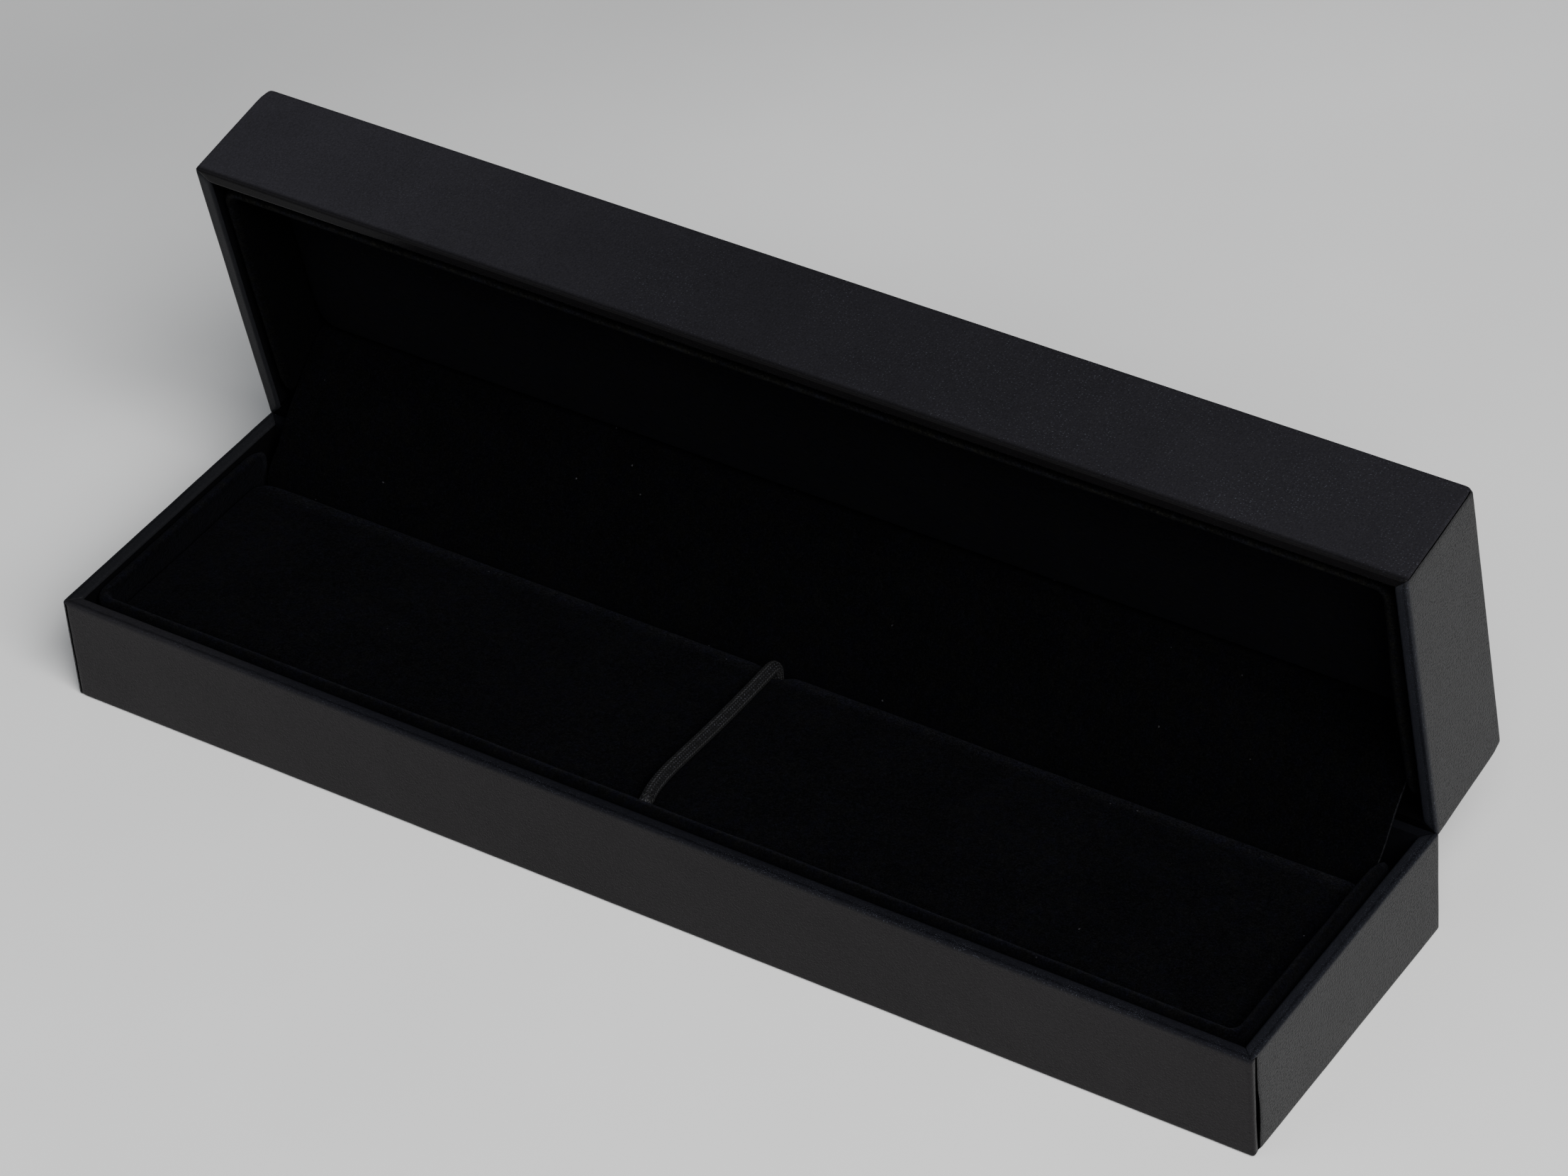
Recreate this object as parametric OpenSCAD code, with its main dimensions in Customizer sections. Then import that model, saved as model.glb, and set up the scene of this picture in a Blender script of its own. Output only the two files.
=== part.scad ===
// Hinged presentation case for one pen: a board shell covered in leatherette, lined with velvet,
// with a padded bed, an elastic keeper across it and two concealed sprung hinges along the back.
// Origin: centre of the base's bottom face. X runs along the case, +Y to the hinge side, +Z up.

/* [Case] */
// Length of the case
case_l = 190; // [170:1:210]
// Width of the case, front face to back face
case_w = 49; // [46:0.5:54]
// Height of the base, bottom face to rim
base_h = 17; // [16.5:0.1:20]
// Height of the lid, rim to top face
lid_h = 17.8; // [17.5:0.1:21]
// How far the lid stands open
open_angle = 81; // [70:1:90]

/* [Shell] */
// Thickness of the grey board
board_t = 1.4; // [1.2:0.1:1.6]
// Thickness of the leatherette
skin_t = 0.35; // [0.3:0.05:0.4]
// Radius of the upright corners
corner_r = 0.6; // [0.5:0.1:1.2]
// Radius of the base's bottom edges
base_edge_r = 0.6; // [0.5:0.1:1.2]
// Radius of the lid's top edges
lid_edge_r = 1.2; // [0.6:0.1:1.6]
// Width of the long cover's return on the end faces
return_w = 1.3; // [1:0.1:2]
// Open width of the seams between covers
seam_gap = 0.1; // [0.05:0.05:0.2]
// How far the covers turn down inside the rims
turn_in = 8; // [5:0.5:9]
// Gap between the two rims when the case is shut
rim_gap = 0.2; // [0.1:0.05:0.4]

/* [Velvet insert] */
// Thickness of the liner strip with its velvet
liner_t = 1.8; // [1.4:0.1:2.2]
// Thickness of the velvet
velvet_t = 0.45; // [0.3:0.05:0.6]
// Depth of the liner's top edge below the rim
liner_drop = 0.7; // [0.4:0.1:1.5]
// Gap between the liner and the front wall
liner_front_gap = 1.2; // [0.5:0.1:1.5]
// Gap between the liner and each end wall
liner_end_gap = 0.7; // [0.65:0.05:1]
// Outer corner radius of the liner
liner_r = 3; // [2:0.1:4]
// How far the base's insert sits off centre along the case
insert_shift = -0.6; // [-0.6:0.1:0.6]
// Depth of the base pad's face below the rim
base_pad_drop = 3.5; // [3:0.1:4]
// Depth of the lid pad's face below the rim
lid_pad_drop = 8.7; // [8:0.1:9.5]
// Thickness of the cards inside the pads
pad_card_t = 1.5; // [1:0.1:1.8]
// Thickness of the base pad's foam
base_foam_t = 4.2; // [3:0.1:4.5]
// Back corner radius of the pads
pad_corner_r = 4; // [2:0.5:6]

/* [Elastic keeper] */
// Diameter of the elastic cord
cord_d = 2; // [1.6:0.1:2.2]
// Place of the cord along the case
cord_x = -1.5; // [-5:0.5:5]

/* [Hinges] */
// Distance of the hinge axis from the outer back face
pivot_in = 0.75; // [0.7:0.05:1.2]
// Slope of the relief on the outer edges of the back rims
relief_angle = 55; // [50:1:58]
// Diameter of the hinge pins
pin_d = 0.7; // [0.6:0.05:0.8]
// Thickness of the hinge leaves
leaf_t = 0.25; // [0.2:0.01:0.3]
// Length of each hinge
hinge_l = 24; // [20:1:30]
// Distance between the two hinges
hinge_span = 110; // [80:2:130]

/* [Hidden] */
$fn = 48;
far = 400;

// Shell
wall_t = board_t + 2 * skin_t;
half_l = case_l / 2;
half_w = case_w / 2;
in_l = half_l - wall_t;
in_w = half_w - wall_t;
floor_z = skin_t + board_t;

// Hinge axis, in the base's frame
hinge_y = half_w - pivot_in;
hinge_z = base_h + rim_gap / 2;
hinge_xs = [-hinge_span / 2, hinge_span / 2];
knuckle_r = pin_d / 2 + leaf_t;
pin_clear = 0.03;
knuckle_gap = 0.1;
mid_knuckle_l = 9.8;
side_knuckle_l = (hinge_l - mid_knuckle_l) / 2 - knuckle_gap;
recess_clear = 0.2;
leaf_h = 8.5;
tack_r = 0.4;
tack_head_r = 0.9;
tack_head_t = 0.35;
tack_l = 1.6;
tack_xs = [-9, 9];
tack_drop = 6.5;
spring_t = 0.25;
spring_w = 7;
spring_recess = 1.8;
spring_room_y = hinge_y - 0.4;
spine_t = 0.25;
spine_clear = 0.04;
spine_cover_w = 1.2;
relief_reach = pivot_in * tan(relief_angle);

// Insert
liner_half_l = in_l - liner_end_gap;
liner_front_y = liner_front_gap - in_w;
base_liner_back_y = 17.5;
lid_liner_back_y = 19.5;
pad_fit = 0.1;
pad_half_l = liner_half_l - liner_t - pad_fit;
pad_front_y = liner_front_y + liner_t + pad_fit;
pad_front_r = 1;
base_pad_back_y = 15;
lid_pad_back_y = 13;
pad_hem_w = 8;
base_pad_z = base_h - base_pad_drop;
lid_pad_z = lid_h - lid_pad_drop;
base_card_z = base_pad_z - velvet_t - base_foam_t - pad_card_t;
lid_card_z = floor_z + velvet_t;
riser_xs = [-75, -30, 30, 75];
riser_w = 8;

// Elastic: a loop that runs over the pad, down two notches and back under it
cord_r = cord_d / 2;
cord_gap = 0.05;
bend_r = cord_r + 0.3;
notch_d = bend_r + cord_r;
notch_w = cord_d + 0.6;
crimp_t = 0.3;
crimp_l = 8;
cord_front_y = pad_front_y + notch_d;
cord_back_y = base_pad_back_y - notch_d;
cord_top_z = base_pad_z + cord_gap + cord_r - bend_r;
cord_low_z = base_card_z - velvet_t - crimp_t - cord_r - cord_gap + bend_r;

// Flap that hides the hinges
flap_t = 0.7;
flap_half_l = 89.4;
flap_off = 0.6;
flap_low_z = 8;
flap_turn_z = base_pad_z - 0.9;
flap_tuck = 4.5;

// ---------- helpers ----------

// Extrudes a (Y, Z) outline along X, centred
module along_x(length) {
    rotate([90, 0, 90])
        linear_extrude(length, center = true)
            children();
}

// Rectangle centred on X, from y0 to y1, with its own radius at the front and the back corners
module rounded_plan(half, y0, y1, front_r, back_r) {
    r0 = max(front_r, 0.01);
    r1 = max(back_r, 0.01);
    union() {
        translate([-half, y0 + r0])
            square([2 * half, y1 - y0 - r0 - r1]);
        translate([-half + r0, y0])
            square([2 * (half - r0), 2 * r0]);
        translate([-half + r1, y1 - 2 * r1])
            square([2 * (half - r1), 2 * r1]);
        for (side = [-1, 1]) {
            translate([side * (half - r0), y0 + r0])
                circle(r0);
            translate([side * (half - r1), y1 - r1])
                circle(r1);
        }
    }
}

// Upright outline with round lower corners
module tray_outline(half, top, r) {
    union() {
        translate([-half, r])
            square([2 * half, top - r]);
        translate([-half + r, 0])
            square([2 * (half - r), 2 * r]);
        for (side = [-1, 1])
            translate([side * (half - r), r])
                circle(r);
    }
}

// Line of width t through the points, with round ends
module stroke(points, t) {
    union() {
        for (i = [0 : len(points) - 2]) {
            step = points[i + 1] - points[i];
            translate(points[i])
                rotate(atan2(step[1], step[0]))
                    translate([0, -t / 2])
                        square([norm(step), t]);
        }
        for (p = points)
            translate(p)
                circle(d = t);
    }
}

// Places a half of the shell, drawn rim up, as the open lid
module as_lid() {
    translate([0, hinge_y, hinge_z])
        rotate([-open_angle, 0, 0])
            translate([0, -hinge_y, lid_h + rim_gap / 2])
                mirror([0, 0, 1])
                    children();
}

// Where a point of the lid's rim-up section lies in the open case
function lid_point(y, z) =
    let (dy = y - hinge_y, dz = lid_h + rim_gap / 2 - z)
    [
        hinge_y + dy * cos(open_angle) + dz * sin(open_angle),
        hinge_z - dy * sin(open_angle) + dz * cos(open_angle)
    ];

// Point at a distance and an angle from the hinge axis, in the (Y, Z) plane
function around_hinge(r, angle) = [hinge_y + r * cos(angle), hinge_z + r * sin(angle)];

// ---------- shell halves, drawn rim up with the closed face at z = 0 ----------

// Solid outer form of one half, inset by a skin or more
module half_form(h, edge_r, inset) {
    r = edge_r - inset;
    translate([0, 0, inset])
        intersection() {
            linear_extrude(h)
                rounded_plan(half_l - inset, inset - half_w, half_w - inset, corner_r - inset, corner_r - inset);
            along_x(case_l)
                tray_outline(half_w - inset, h, r);
            rotate([90, 0, 0])
                linear_extrude(case_w, center = true)
                    tray_outline(half_l - inset, h, r);
        }
}

// Room outside the hinge axis, so that the back edges pass each other as the lid opens
module relief(h) {
    axis_z = h + rim_gap / 2;
    run = 5;
    along_x(case_l + 2)
        polygon([
            [hinge_y, axis_z],
            [hinge_y + run, axis_z - run * tan(relief_angle)],
            [hinge_y + run, axis_z + run],
            [hinge_y, axis_z + run]
        ]);
}

// Recesses in the back rim for the hinges, and bores for their tacks
module hinge_recesses(h, deep) {
    axis_z = h + rim_gap / 2;
    for (x = hinge_xs) {
        translate([x - hinge_l / 2 - recess_clear, in_w - 2, axis_z - knuckle_r - 0.02])
            cube([hinge_l + 2 * recess_clear, wall_t + 4, far]);
        translate([x - spring_w / 2 - recess_clear, in_w - 2, axis_z - deep])
            cube([spring_w + 2 * recess_clear, spring_room_y - in_w + 2, far]);
        tack_bores(h, x);
    }
}

module tack_bores(h, x) {
    for (dx = tack_xs)
        translate([x + dx, in_w - leaf_t - 0.01, h - tack_drop])
            rotate([-90, 0, 0])
                cylinder(r = tack_r, h = tack_l + 0.01);
}

module board(h, edge_r, part) {
    wall_z0 = part == "floor" ? 0 : floor_z;
    wall_z1 = part == "floor" ? floor_z : h - skin_t;
    y_split = half_w - skin_t - board_t;
    x_split = half_l - skin_t - board_t;
    difference() {
        intersection() {
            half_form(h, edge_r, skin_t);
            if (part == "floor")
                translate([-far / 2, -far / 2, 0])
                    cube([far, far, floor_z]);
            if (part == "front")
                translate([-far / 2, -far - y_split, wall_z0])
                    cube([far, far, wall_z1 - wall_z0]);
            if (part == "back")
                translate([-far / 2, y_split, wall_z0])
                    cube([far, far, wall_z1 - wall_z0]);
            if (part == "left")
                translate([-far - x_split, -y_split, wall_z0])
                    cube([far, 2 * y_split, wall_z1 - wall_z0]);
            if (part == "right")
                translate([x_split, -y_split, wall_z0])
                    cube([far, 2 * y_split, wall_z1 - wall_z0]);
        }
        if (part == "back") {
            relief(h);
            hinge_recesses(h, spring_recess);
        }
    }
}

// Plan of the rim, all round
module rim_plan() {
    difference() {
        rounded_plan(half_l, -half_w, half_w, corner_r, corner_r);
        square([2 * in_l, 2 * in_w], center = true);
    }
}

// Half plane wedges that mitre the rim at the corners: along the sides or across the ends
module mitre_wedge(side, along) {
    reach = 6;
    g = seam_gap / 2;
    a = in_l - reach;
    b = in_w - reach;
    if (along)
        polygon([
            [-a + g, side * b],
            [a - g, side * b],
            [in_l + reach - g, side * (in_w + reach)],
            [-in_l - reach + g, side * (in_w + reach)]
        ]);
    else
        polygon([
            [side * a, -b + g],
            [side * a, b - g],
            [side * (in_l + reach), in_w + reach - g],
            [side * (in_l + reach), -in_w - reach + g]
        ]);
}

// Long cover: front, closed face and back in one sheet, turned over the front rim
module long_cover(h, edge_r) {
    difference() {
        union() {
            difference() {
                half_form(h - skin_t, edge_r, 0);
                translate([0, 0, skin_t])
                    intersection() {
                        translate([0, 0, -skin_t])
                            half_form(far, edge_r, skin_t);
                        translate([-far / 2, -far / 2, 0])
                            cube([far, far, far]);
                    }
                for (side = [-1, 1])
                    translate([
                        side > 0 ? half_l - skin_t : -half_l - 1,
                        return_w - half_w,
                        return_w
                    ])
                        cube([skin_t + 1, case_w - 2 * return_w, far]);
            }
            long_edging(h, -1);
        }
        translate([-far / 2, half_w - skin_t, h - relief_reach - spine_cover_w])
            cube([far, far, far]);
        relief(h);
    }
}

// Strip over a long rim and down its inner face: -1 at the front, 1 at the back
module long_edging(h, side) {
    y_board = half_w - skin_t - board_t;
    union() {
        translate([0, 0, h - skin_t])
            linear_extrude(skin_t)
                intersection() {
                    rim_plan();
                    mitre_wedge(side, true);
                }
        translate([-in_l - skin_t, side > 0 ? in_w : -y_board, h - turn_in])
            cube([2 * (in_l + skin_t), skin_t, turn_in - skin_t]);
    }
}

// Separate strip over the back rim, notched for the hinges
module back_edging(h) {
    difference() {
        long_edging(h, 1);
        relief(h);
        hinge_recesses(h, spring_recess);
    }
}

// End cover: one sheet on an end wall, turned over its rim
module end_cover(h, edge_r, side) {
    x_board = half_l - skin_t - board_t;
    edge = return_w + seam_gap;
    difference() {
        union() {
            intersection() {
                half_form(h - skin_t, edge_r, 0);
                translate([side > 0 ? half_l - skin_t : -half_l, edge - half_w, edge])
                    cube([skin_t, case_w - 2 * edge, h - skin_t - edge]);
            }
            translate([0, 0, h - skin_t])
                linear_extrude(skin_t)
                    intersection() {
                        rim_plan();
                        mitre_wedge(side, false);
                    }
            translate([side > 0 ? in_l : -x_board, -in_w, h - turn_in])
                cube([skin_t, 2 * in_w, turn_in - skin_t]);
        }
        relief(h);
    }
}

// ---------- velvet insert, drawn rim up ----------

// U-shaped plan of the liner strip between two depths into its thickness
module liner_plan(from, to, back_y) {
    difference() {
        rounded_plan(liner_half_l - from, liner_front_y + from, back_y, liner_r - from, 0);
        rounded_plan(liner_half_l - to, liner_front_y + to, back_y + 5, liner_r - to, 0);
    }
}

module liner_card(h, back_y) {
    translate([0, 0, floor_z])
        linear_extrude(h - liner_drop - velvet_t - floor_z)
            liner_plan(velvet_t, liner_t - velvet_t, back_y);
}

module liner_velvet(h, back_y) {
    top = h - liner_drop;
    union() {
        translate([0, 0, floor_z])
            linear_extrude(top - floor_z) {
                liner_plan(0, velvet_t, back_y);
                liner_plan(liner_t - velvet_t, liner_t, back_y);
            }
        translate([0, 0, top - velvet_t])
            linear_extrude(velvet_t)
                liner_plan(0, liner_t, back_y);
    }
}

module pad_plan(inset, back_y) {
    rounded_plan(
        pad_half_l - inset, pad_front_y + inset, back_y - inset, pad_front_r - inset, pad_corner_r - inset
    );
}

module pad_layer(z0, z1, inset, back_y) {
    translate([0, 0, z0])
        linear_extrude(z1 - z0)
            pad_plan(inset, back_y);
}

// Velvet cover of a pad: face, sides and a hem turned under the card
module pad_cover(card_z, face_z, back_y) {
    difference() {
        pad_layer(card_z - velvet_t, face_z, 0, back_y);
        pad_layer(card_z, face_z - velvet_t, velvet_t, back_y);
        pad_layer(card_z - velvet_t - 1, card_z + 0.01, pad_hem_w, back_y);
    }
}

// Notches in the pad's long edges, where the elastic goes down
module cord_notches() {
    x = cord_x - insert_shift;
    translate([x - notch_w / 2, pad_front_y - 1, 0])
        cube([notch_w, notch_d + 1, far]);
    translate([x - notch_w / 2, cord_back_y, 0])
        cube([notch_w, notch_d + 1, far]);
}

// ---------- hinge parts, in the case's frame, about one hinge ----------

// Leaf outline for the lower side: plate on the wall's inner face and foot under the knuckle
module leaf_plate(h) {
    axis_z = h + rim_gap / 2;
    foot_z = axis_z - knuckle_r;
    translate([-hinge_l / 2, in_w - leaf_t, foot_z - leaf_h])
        cube([hinge_l, leaf_t, leaf_h + leaf_t]);
}

// One knuckle, with the foot that ties it to the plate
module knuckle(h, x0, length, bore_r) {
    axis_z = h + rim_gap / 2;
    foot_z = axis_z - knuckle_r;
    translate([x0, 0, 0])
        difference() {
            union() {
                translate([0, hinge_y, axis_z])
                    rotate([0, 90, 0])
                        cylinder(r = knuckle_r, h = length);
                translate([0, in_w - leaf_t, foot_z])
                    cube([length, hinge_y - in_w + leaf_t, leaf_t]);
            }
            translate([-1, hinge_y, axis_z])
                rotate([0, 90, 0])
                    cylinder(r = bore_r, h = length + 2);
        }
}

module base_leaf(x) {
    difference() {
        translate([x, 0, 0])
            union() {
                leaf_plate(base_h);
                knuckle(base_h, -hinge_l / 2, side_knuckle_l, pin_d / 2);
                knuckle(base_h, hinge_l / 2 - side_knuckle_l, side_knuckle_l, pin_d / 2);
            }
        tack_bores(base_h, x);
        translate([x - mid_knuckle_l / 2, in_w - 2, base_h - spring_recess - 0.6])
            cube([mid_knuckle_l, 4, far]);
    }
}

module lid_leaf(x) {
    difference() {
        translate([x, 0, 0])
            union() {
                leaf_plate(lid_h);
                knuckle(lid_h, -mid_knuckle_l / 2, mid_knuckle_l, pin_d / 2 + pin_clear);
            }
        tack_bores(lid_h, x);
    }
}

module hinge_pin(x) {
    translate([x - hinge_l / 2, hinge_y, hinge_z])
        rotate([0, 90, 0])
            cylinder(d = pin_d, h = hinge_l);
}

// Flat spring that bears on the lid's knuckle
module hinge_spring(x) {
    flat_y = in_w - leaf_t - spring_t / 2;
    tip = around_hinge(knuckle_r + 0.05 + spring_t / 2, 205);
    translate([x, 0, 0])
        along_x(spring_w)
            stroke([[flat_y, base_h - leaf_h], [flat_y, base_h - spring_recess - 0.1], tip], spring_t);
}

// Round-headed tacks through the leaves into the back board
module leaf_tacks(h) {
    for (x = hinge_xs, dx = tack_xs)
        translate([x + dx, in_w - leaf_t, h - tack_drop])
            rotate([-90, 0, 0])
                union() {
                    cylinder(r = tack_r, h = tack_l);
                    translate([0, 0, -tack_head_t])
                        cylinder(r = tack_head_r, h = tack_head_t);
                }
}

// ---------- base ----------

module base_floor_board() {
    color("#8d8a83")
        board(base_h, base_edge_r, "floor");
}

module base_front_board() {
    color("#8d8a83")
        board(base_h, base_edge_r, "front");
}

module base_back_board() {
    color("#8d8a83")
        board(base_h, base_edge_r, "back");
}

module base_left_board() {
    color("#8d8a83")
        board(base_h, base_edge_r, "left");
}

module base_right_board() {
    color("#8d8a83")
        board(base_h, base_edge_r, "right");
}

module base_wrap() {
    color("#2b2b2e")
        long_cover(base_h, base_edge_r);
}

module base_back_edging() {
    color("#2b2b2e")
        back_edging(base_h);
}

module base_left_cover() {
    color("#333336")
        end_cover(base_h, base_edge_r, -1);
}

module base_right_cover() {
    color("#333336")
        end_cover(base_h, base_edge_r, 1);
}

module base_liner_card() {
    color("#8d8a83")
        translate([insert_shift, 0, 0])
            liner_card(base_h, base_liner_back_y);
}

module base_liner_velvet() {
    color("#121216")
        translate([insert_shift, 0, 0])
            liner_velvet(base_h, base_liner_back_y);
}

module pad_risers() {
    color("#8d8a83")
        for (x = riser_xs)
            translate([x + insert_shift - riser_w / 2, pad_front_y + 2, floor_z])
                cube([riser_w, base_pad_back_y - pad_front_y - 4, base_card_z - velvet_t - floor_z]);
}

module base_pad_card() {
    color("#8d8a83")
        translate([insert_shift, 0, 0])
            difference() {
                pad_layer(base_card_z, base_card_z + pad_card_t, velvet_t, base_pad_back_y);
                cord_notches();
            }
}

module base_pad_foam() {
    color("#3a3a3c")
        translate([insert_shift, 0, 0])
            difference() {
                pad_layer(base_card_z + pad_card_t, base_pad_z - velvet_t, velvet_t, base_pad_back_y);
                cord_notches();
            }
}

module base_pad_velvet() {
    color("#121216")
        translate([insert_shift, 0, 0])
            difference() {
                pad_cover(base_card_z, base_pad_z, base_pad_back_y);
                cord_notches();
            }
}

module elastic_cord() {
    color("#1a1a1c")
        translate([cord_x, 0, 0])
            union() {
                for (run_z = [cord_top_z + bend_r, cord_low_z - bend_r])
                    translate([0, cord_front_y, run_z])
                        rotate([-90, 0, 0])
                            cylinder(r = cord_r, h = cord_back_y - cord_front_y);
                for (run_y = [cord_front_y - bend_r, cord_back_y + bend_r])
                    translate([0, run_y, cord_low_z])
                        cylinder(r = cord_r, h = cord_top_z - cord_low_z);
                translate([0, cord_back_y, cord_top_z])
                    cord_bend(0);
                translate([0, cord_front_y, cord_top_z])
                    cord_bend(90);
                translate([0, cord_front_y, cord_low_z])
                    cord_bend(180);
                translate([0, cord_back_y, cord_low_z])
                    cord_bend(270);
            }
}

// Quarter bend of the cord in the (Y, Z) plane
module cord_bend(start) {
    rotate([90, 0, 90])
        rotate([0, 0, start])
            rotate_extrude(angle = 90)
                translate([bend_r, 0])
                    circle(cord_r);
}

module elastic_crimp() {
    color("#b9bbbf")
        translate([cord_x, -crimp_l / 2 - 2, cord_low_z - bend_r])
            rotate([-90, 0, 0])
                difference() {
                    cylinder(r = cord_r + crimp_t, h = crimp_l);
                    translate([0, 0, -1])
                        cylinder(r = cord_r, h = crimp_l + 2);
                }
}

module left_hinge_base_leaf() {
    color("#c2c4c8")
        base_leaf(hinge_xs[0]);
}

module right_hinge_base_leaf() {
    color("#c2c4c8")
        base_leaf(hinge_xs[1]);
}

module left_hinge_pin() {
    color("#a9abb0")
        hinge_pin(hinge_xs[0]);
}

module right_hinge_pin() {
    color("#a9abb0")
        hinge_pin(hinge_xs[1]);
}

module left_hinge_spring() {
    color("#7d8088")
        hinge_spring(hinge_xs[0]);
}

module right_hinge_spring() {
    color("#7d8088")
        hinge_spring(hinge_xs[1]);
}

module base_leaf_tacks() {
    color("#b9bbbf")
        leaf_tacks(base_h);
}

// Leatherette fold that joins the two back covers, tucked between the relieved edges
module hinge_spine() {
    mid_y = half_w - skin_t + spine_clear + spine_t / 2;
    end_drop = relief_reach + spine_cover_w - spine_clear - spine_t / 2;
    apex = around_hinge(knuckle_r + 0.35, -open_angle / 2);
    color("#2b2b2e")
        along_x(2 * (half_l - wall_t))
            stroke([
                [mid_y, base_h - end_drop],
                [mid_y, hinge_z - relief_reach + 0.1],
                apex,
                lid_point(mid_y, lid_h + rim_gap / 2 - relief_reach + 0.1),
                lid_point(mid_y, lid_h - end_drop)
            ], spine_t);
}

// Velvet flap from behind the base pad to behind the lid pad
module hinge_flap() {
    color("#121216")
        translate([insert_shift, 0, 0])
            along_x(2 * flap_half_l)
                stroke([
                    [base_pad_back_y + flap_off, flap_low_z],
                    [base_pad_back_y + flap_off, flap_turn_z],
                    lid_point(lid_pad_back_y + flap_off, lid_pad_z),
                    lid_point(lid_pad_back_y + flap_off, lid_pad_z - flap_tuck)
                ], flap_t);
}

// ---------- lid ----------

module lid_top_board() {
    color("#8d8a83")
        as_lid()
            board(lid_h, lid_edge_r, "floor");
}

module lid_front_board() {
    color("#8d8a83")
        as_lid()
            board(lid_h, lid_edge_r, "front");
}

module lid_back_board() {
    color("#8d8a83")
        as_lid()
            board(lid_h, lid_edge_r, "back");
}

module lid_left_board() {
    color("#8d8a83")
        as_lid()
            board(lid_h, lid_edge_r, "left");
}

module lid_right_board() {
    color("#8d8a83")
        as_lid()
            board(lid_h, lid_edge_r, "right");
}

module lid_wrap() {
    color("#2b2b2e")
        as_lid()
            long_cover(lid_h, lid_edge_r);
}

module lid_back_edging() {
    color("#2b2b2e")
        as_lid()
            back_edging(lid_h);
}

module lid_left_cover() {
    color("#333336")
        as_lid()
            end_cover(lid_h, lid_edge_r, -1);
}

module lid_right_cover() {
    color("#333336")
        as_lid()
            end_cover(lid_h, lid_edge_r, 1);
}

module lid_liner_card() {
    color("#8d8a83")
        as_lid()
            liner_card(lid_h, lid_liner_back_y);
}

module lid_liner_velvet() {
    color("#121216")
        as_lid()
            liner_velvet(lid_h, lid_liner_back_y);
}

module lid_pad_card() {
    color("#8d8a83")
        as_lid()
            pad_layer(lid_card_z, lid_card_z + pad_card_t, velvet_t, lid_pad_back_y);
}

module lid_pad_foam() {
    color("#3a3a3c")
        as_lid()
            pad_layer(lid_card_z + pad_card_t, lid_pad_z - velvet_t, velvet_t, lid_pad_back_y);
}

module lid_pad_velvet() {
    color("#121216")
        as_lid()
            pad_cover(lid_card_z, lid_pad_z, lid_pad_back_y);
}

module left_hinge_lid_leaf() {
    color("#c2c4c8")
        as_lid()
            lid_leaf(hinge_xs[0]);
}

module right_hinge_lid_leaf() {
    color("#c2c4c8")
        as_lid()
            lid_leaf(hinge_xs[1]);
}

module lid_leaf_tacks() {
    color("#b9bbbf")
        as_lid()
            leaf_tacks(lid_h);
}

base_floor_board();
base_front_board();
base_back_board();
base_left_board();
base_right_board();
base_wrap();
base_back_edging();
base_left_cover();
base_right_cover();
base_liner_card();
base_liner_velvet();
pad_risers();
base_pad_card();
base_pad_foam();
base_pad_velvet();
elastic_cord();
elastic_crimp();
left_hinge_base_leaf();
right_hinge_base_leaf();
left_hinge_pin();
right_hinge_pin();
left_hinge_spring();
right_hinge_spring();
base_leaf_tacks();
hinge_spine();
hinge_flap();
lid_top_board();
lid_front_board();
lid_back_board();
lid_left_board();
lid_right_board();
lid_wrap();
lid_back_edging();
lid_left_cover();
lid_right_cover();
lid_liner_card();
lid_liner_velvet();
lid_pad_card();
lid_pad_foam();
lid_pad_velvet();
left_hinge_lid_leaf();
right_hinge_lid_leaf();
lid_leaf_tacks();
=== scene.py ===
import math

import bpy
import numpy as np
from mathutils import Matrix, Vector, noise


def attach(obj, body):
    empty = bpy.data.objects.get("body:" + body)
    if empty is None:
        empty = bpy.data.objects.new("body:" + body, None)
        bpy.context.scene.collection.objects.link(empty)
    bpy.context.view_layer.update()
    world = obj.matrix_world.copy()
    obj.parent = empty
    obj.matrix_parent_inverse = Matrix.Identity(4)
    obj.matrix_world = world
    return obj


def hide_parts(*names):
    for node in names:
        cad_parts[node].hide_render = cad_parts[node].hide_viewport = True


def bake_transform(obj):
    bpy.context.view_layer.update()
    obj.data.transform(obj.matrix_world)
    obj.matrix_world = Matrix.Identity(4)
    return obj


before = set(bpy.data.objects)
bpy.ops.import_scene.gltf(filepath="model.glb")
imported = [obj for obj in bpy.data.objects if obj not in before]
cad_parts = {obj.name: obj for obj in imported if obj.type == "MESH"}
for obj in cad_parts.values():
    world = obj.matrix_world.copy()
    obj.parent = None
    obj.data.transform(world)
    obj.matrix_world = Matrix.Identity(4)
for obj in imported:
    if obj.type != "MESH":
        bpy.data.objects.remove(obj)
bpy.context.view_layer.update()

MM = 0.001
scene = bpy.context.scene

# ---- Sizes, in millimetres, as in the CAD model ----
HALF_L, HALF_W = 95.0, 24.5
BASE_H, LID_H = 17.0, 17.8
OPEN = math.radians(81.0)
SKIN, BOARD = 0.35, 1.4
WALL = BOARD + 2 * SKIN
IN_L, IN_W = HALF_L - WALL, HALF_W - WALL
FLOOR_Z = SKIN + BOARD
TURN_IN = 8.0  # how far the covering goes down inside the rim
RIM_GAP = 0.2  # between the two rims when the case is shut
HINGE_Y, HINGE_Z = 23.75, BASE_H + RIM_GAP / 2
PIVOT_IN = HALF_W - HINGE_Y
RELIEF = math.tan(math.radians(55.0)) * PIVOT_IN  # height of the slope on the back rims' outer edges
SPINE_COVER = 1.2  # how far the leather fold overlaps each half's back
SHIFT = -0.6  # the base's lining stands this much nearer the left end
LINER_HALF, LINER_FRONT, LINER_T, LINER_R = IN_L - 0.7, 1.2 - IN_W, 1.8, 3.0
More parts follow.
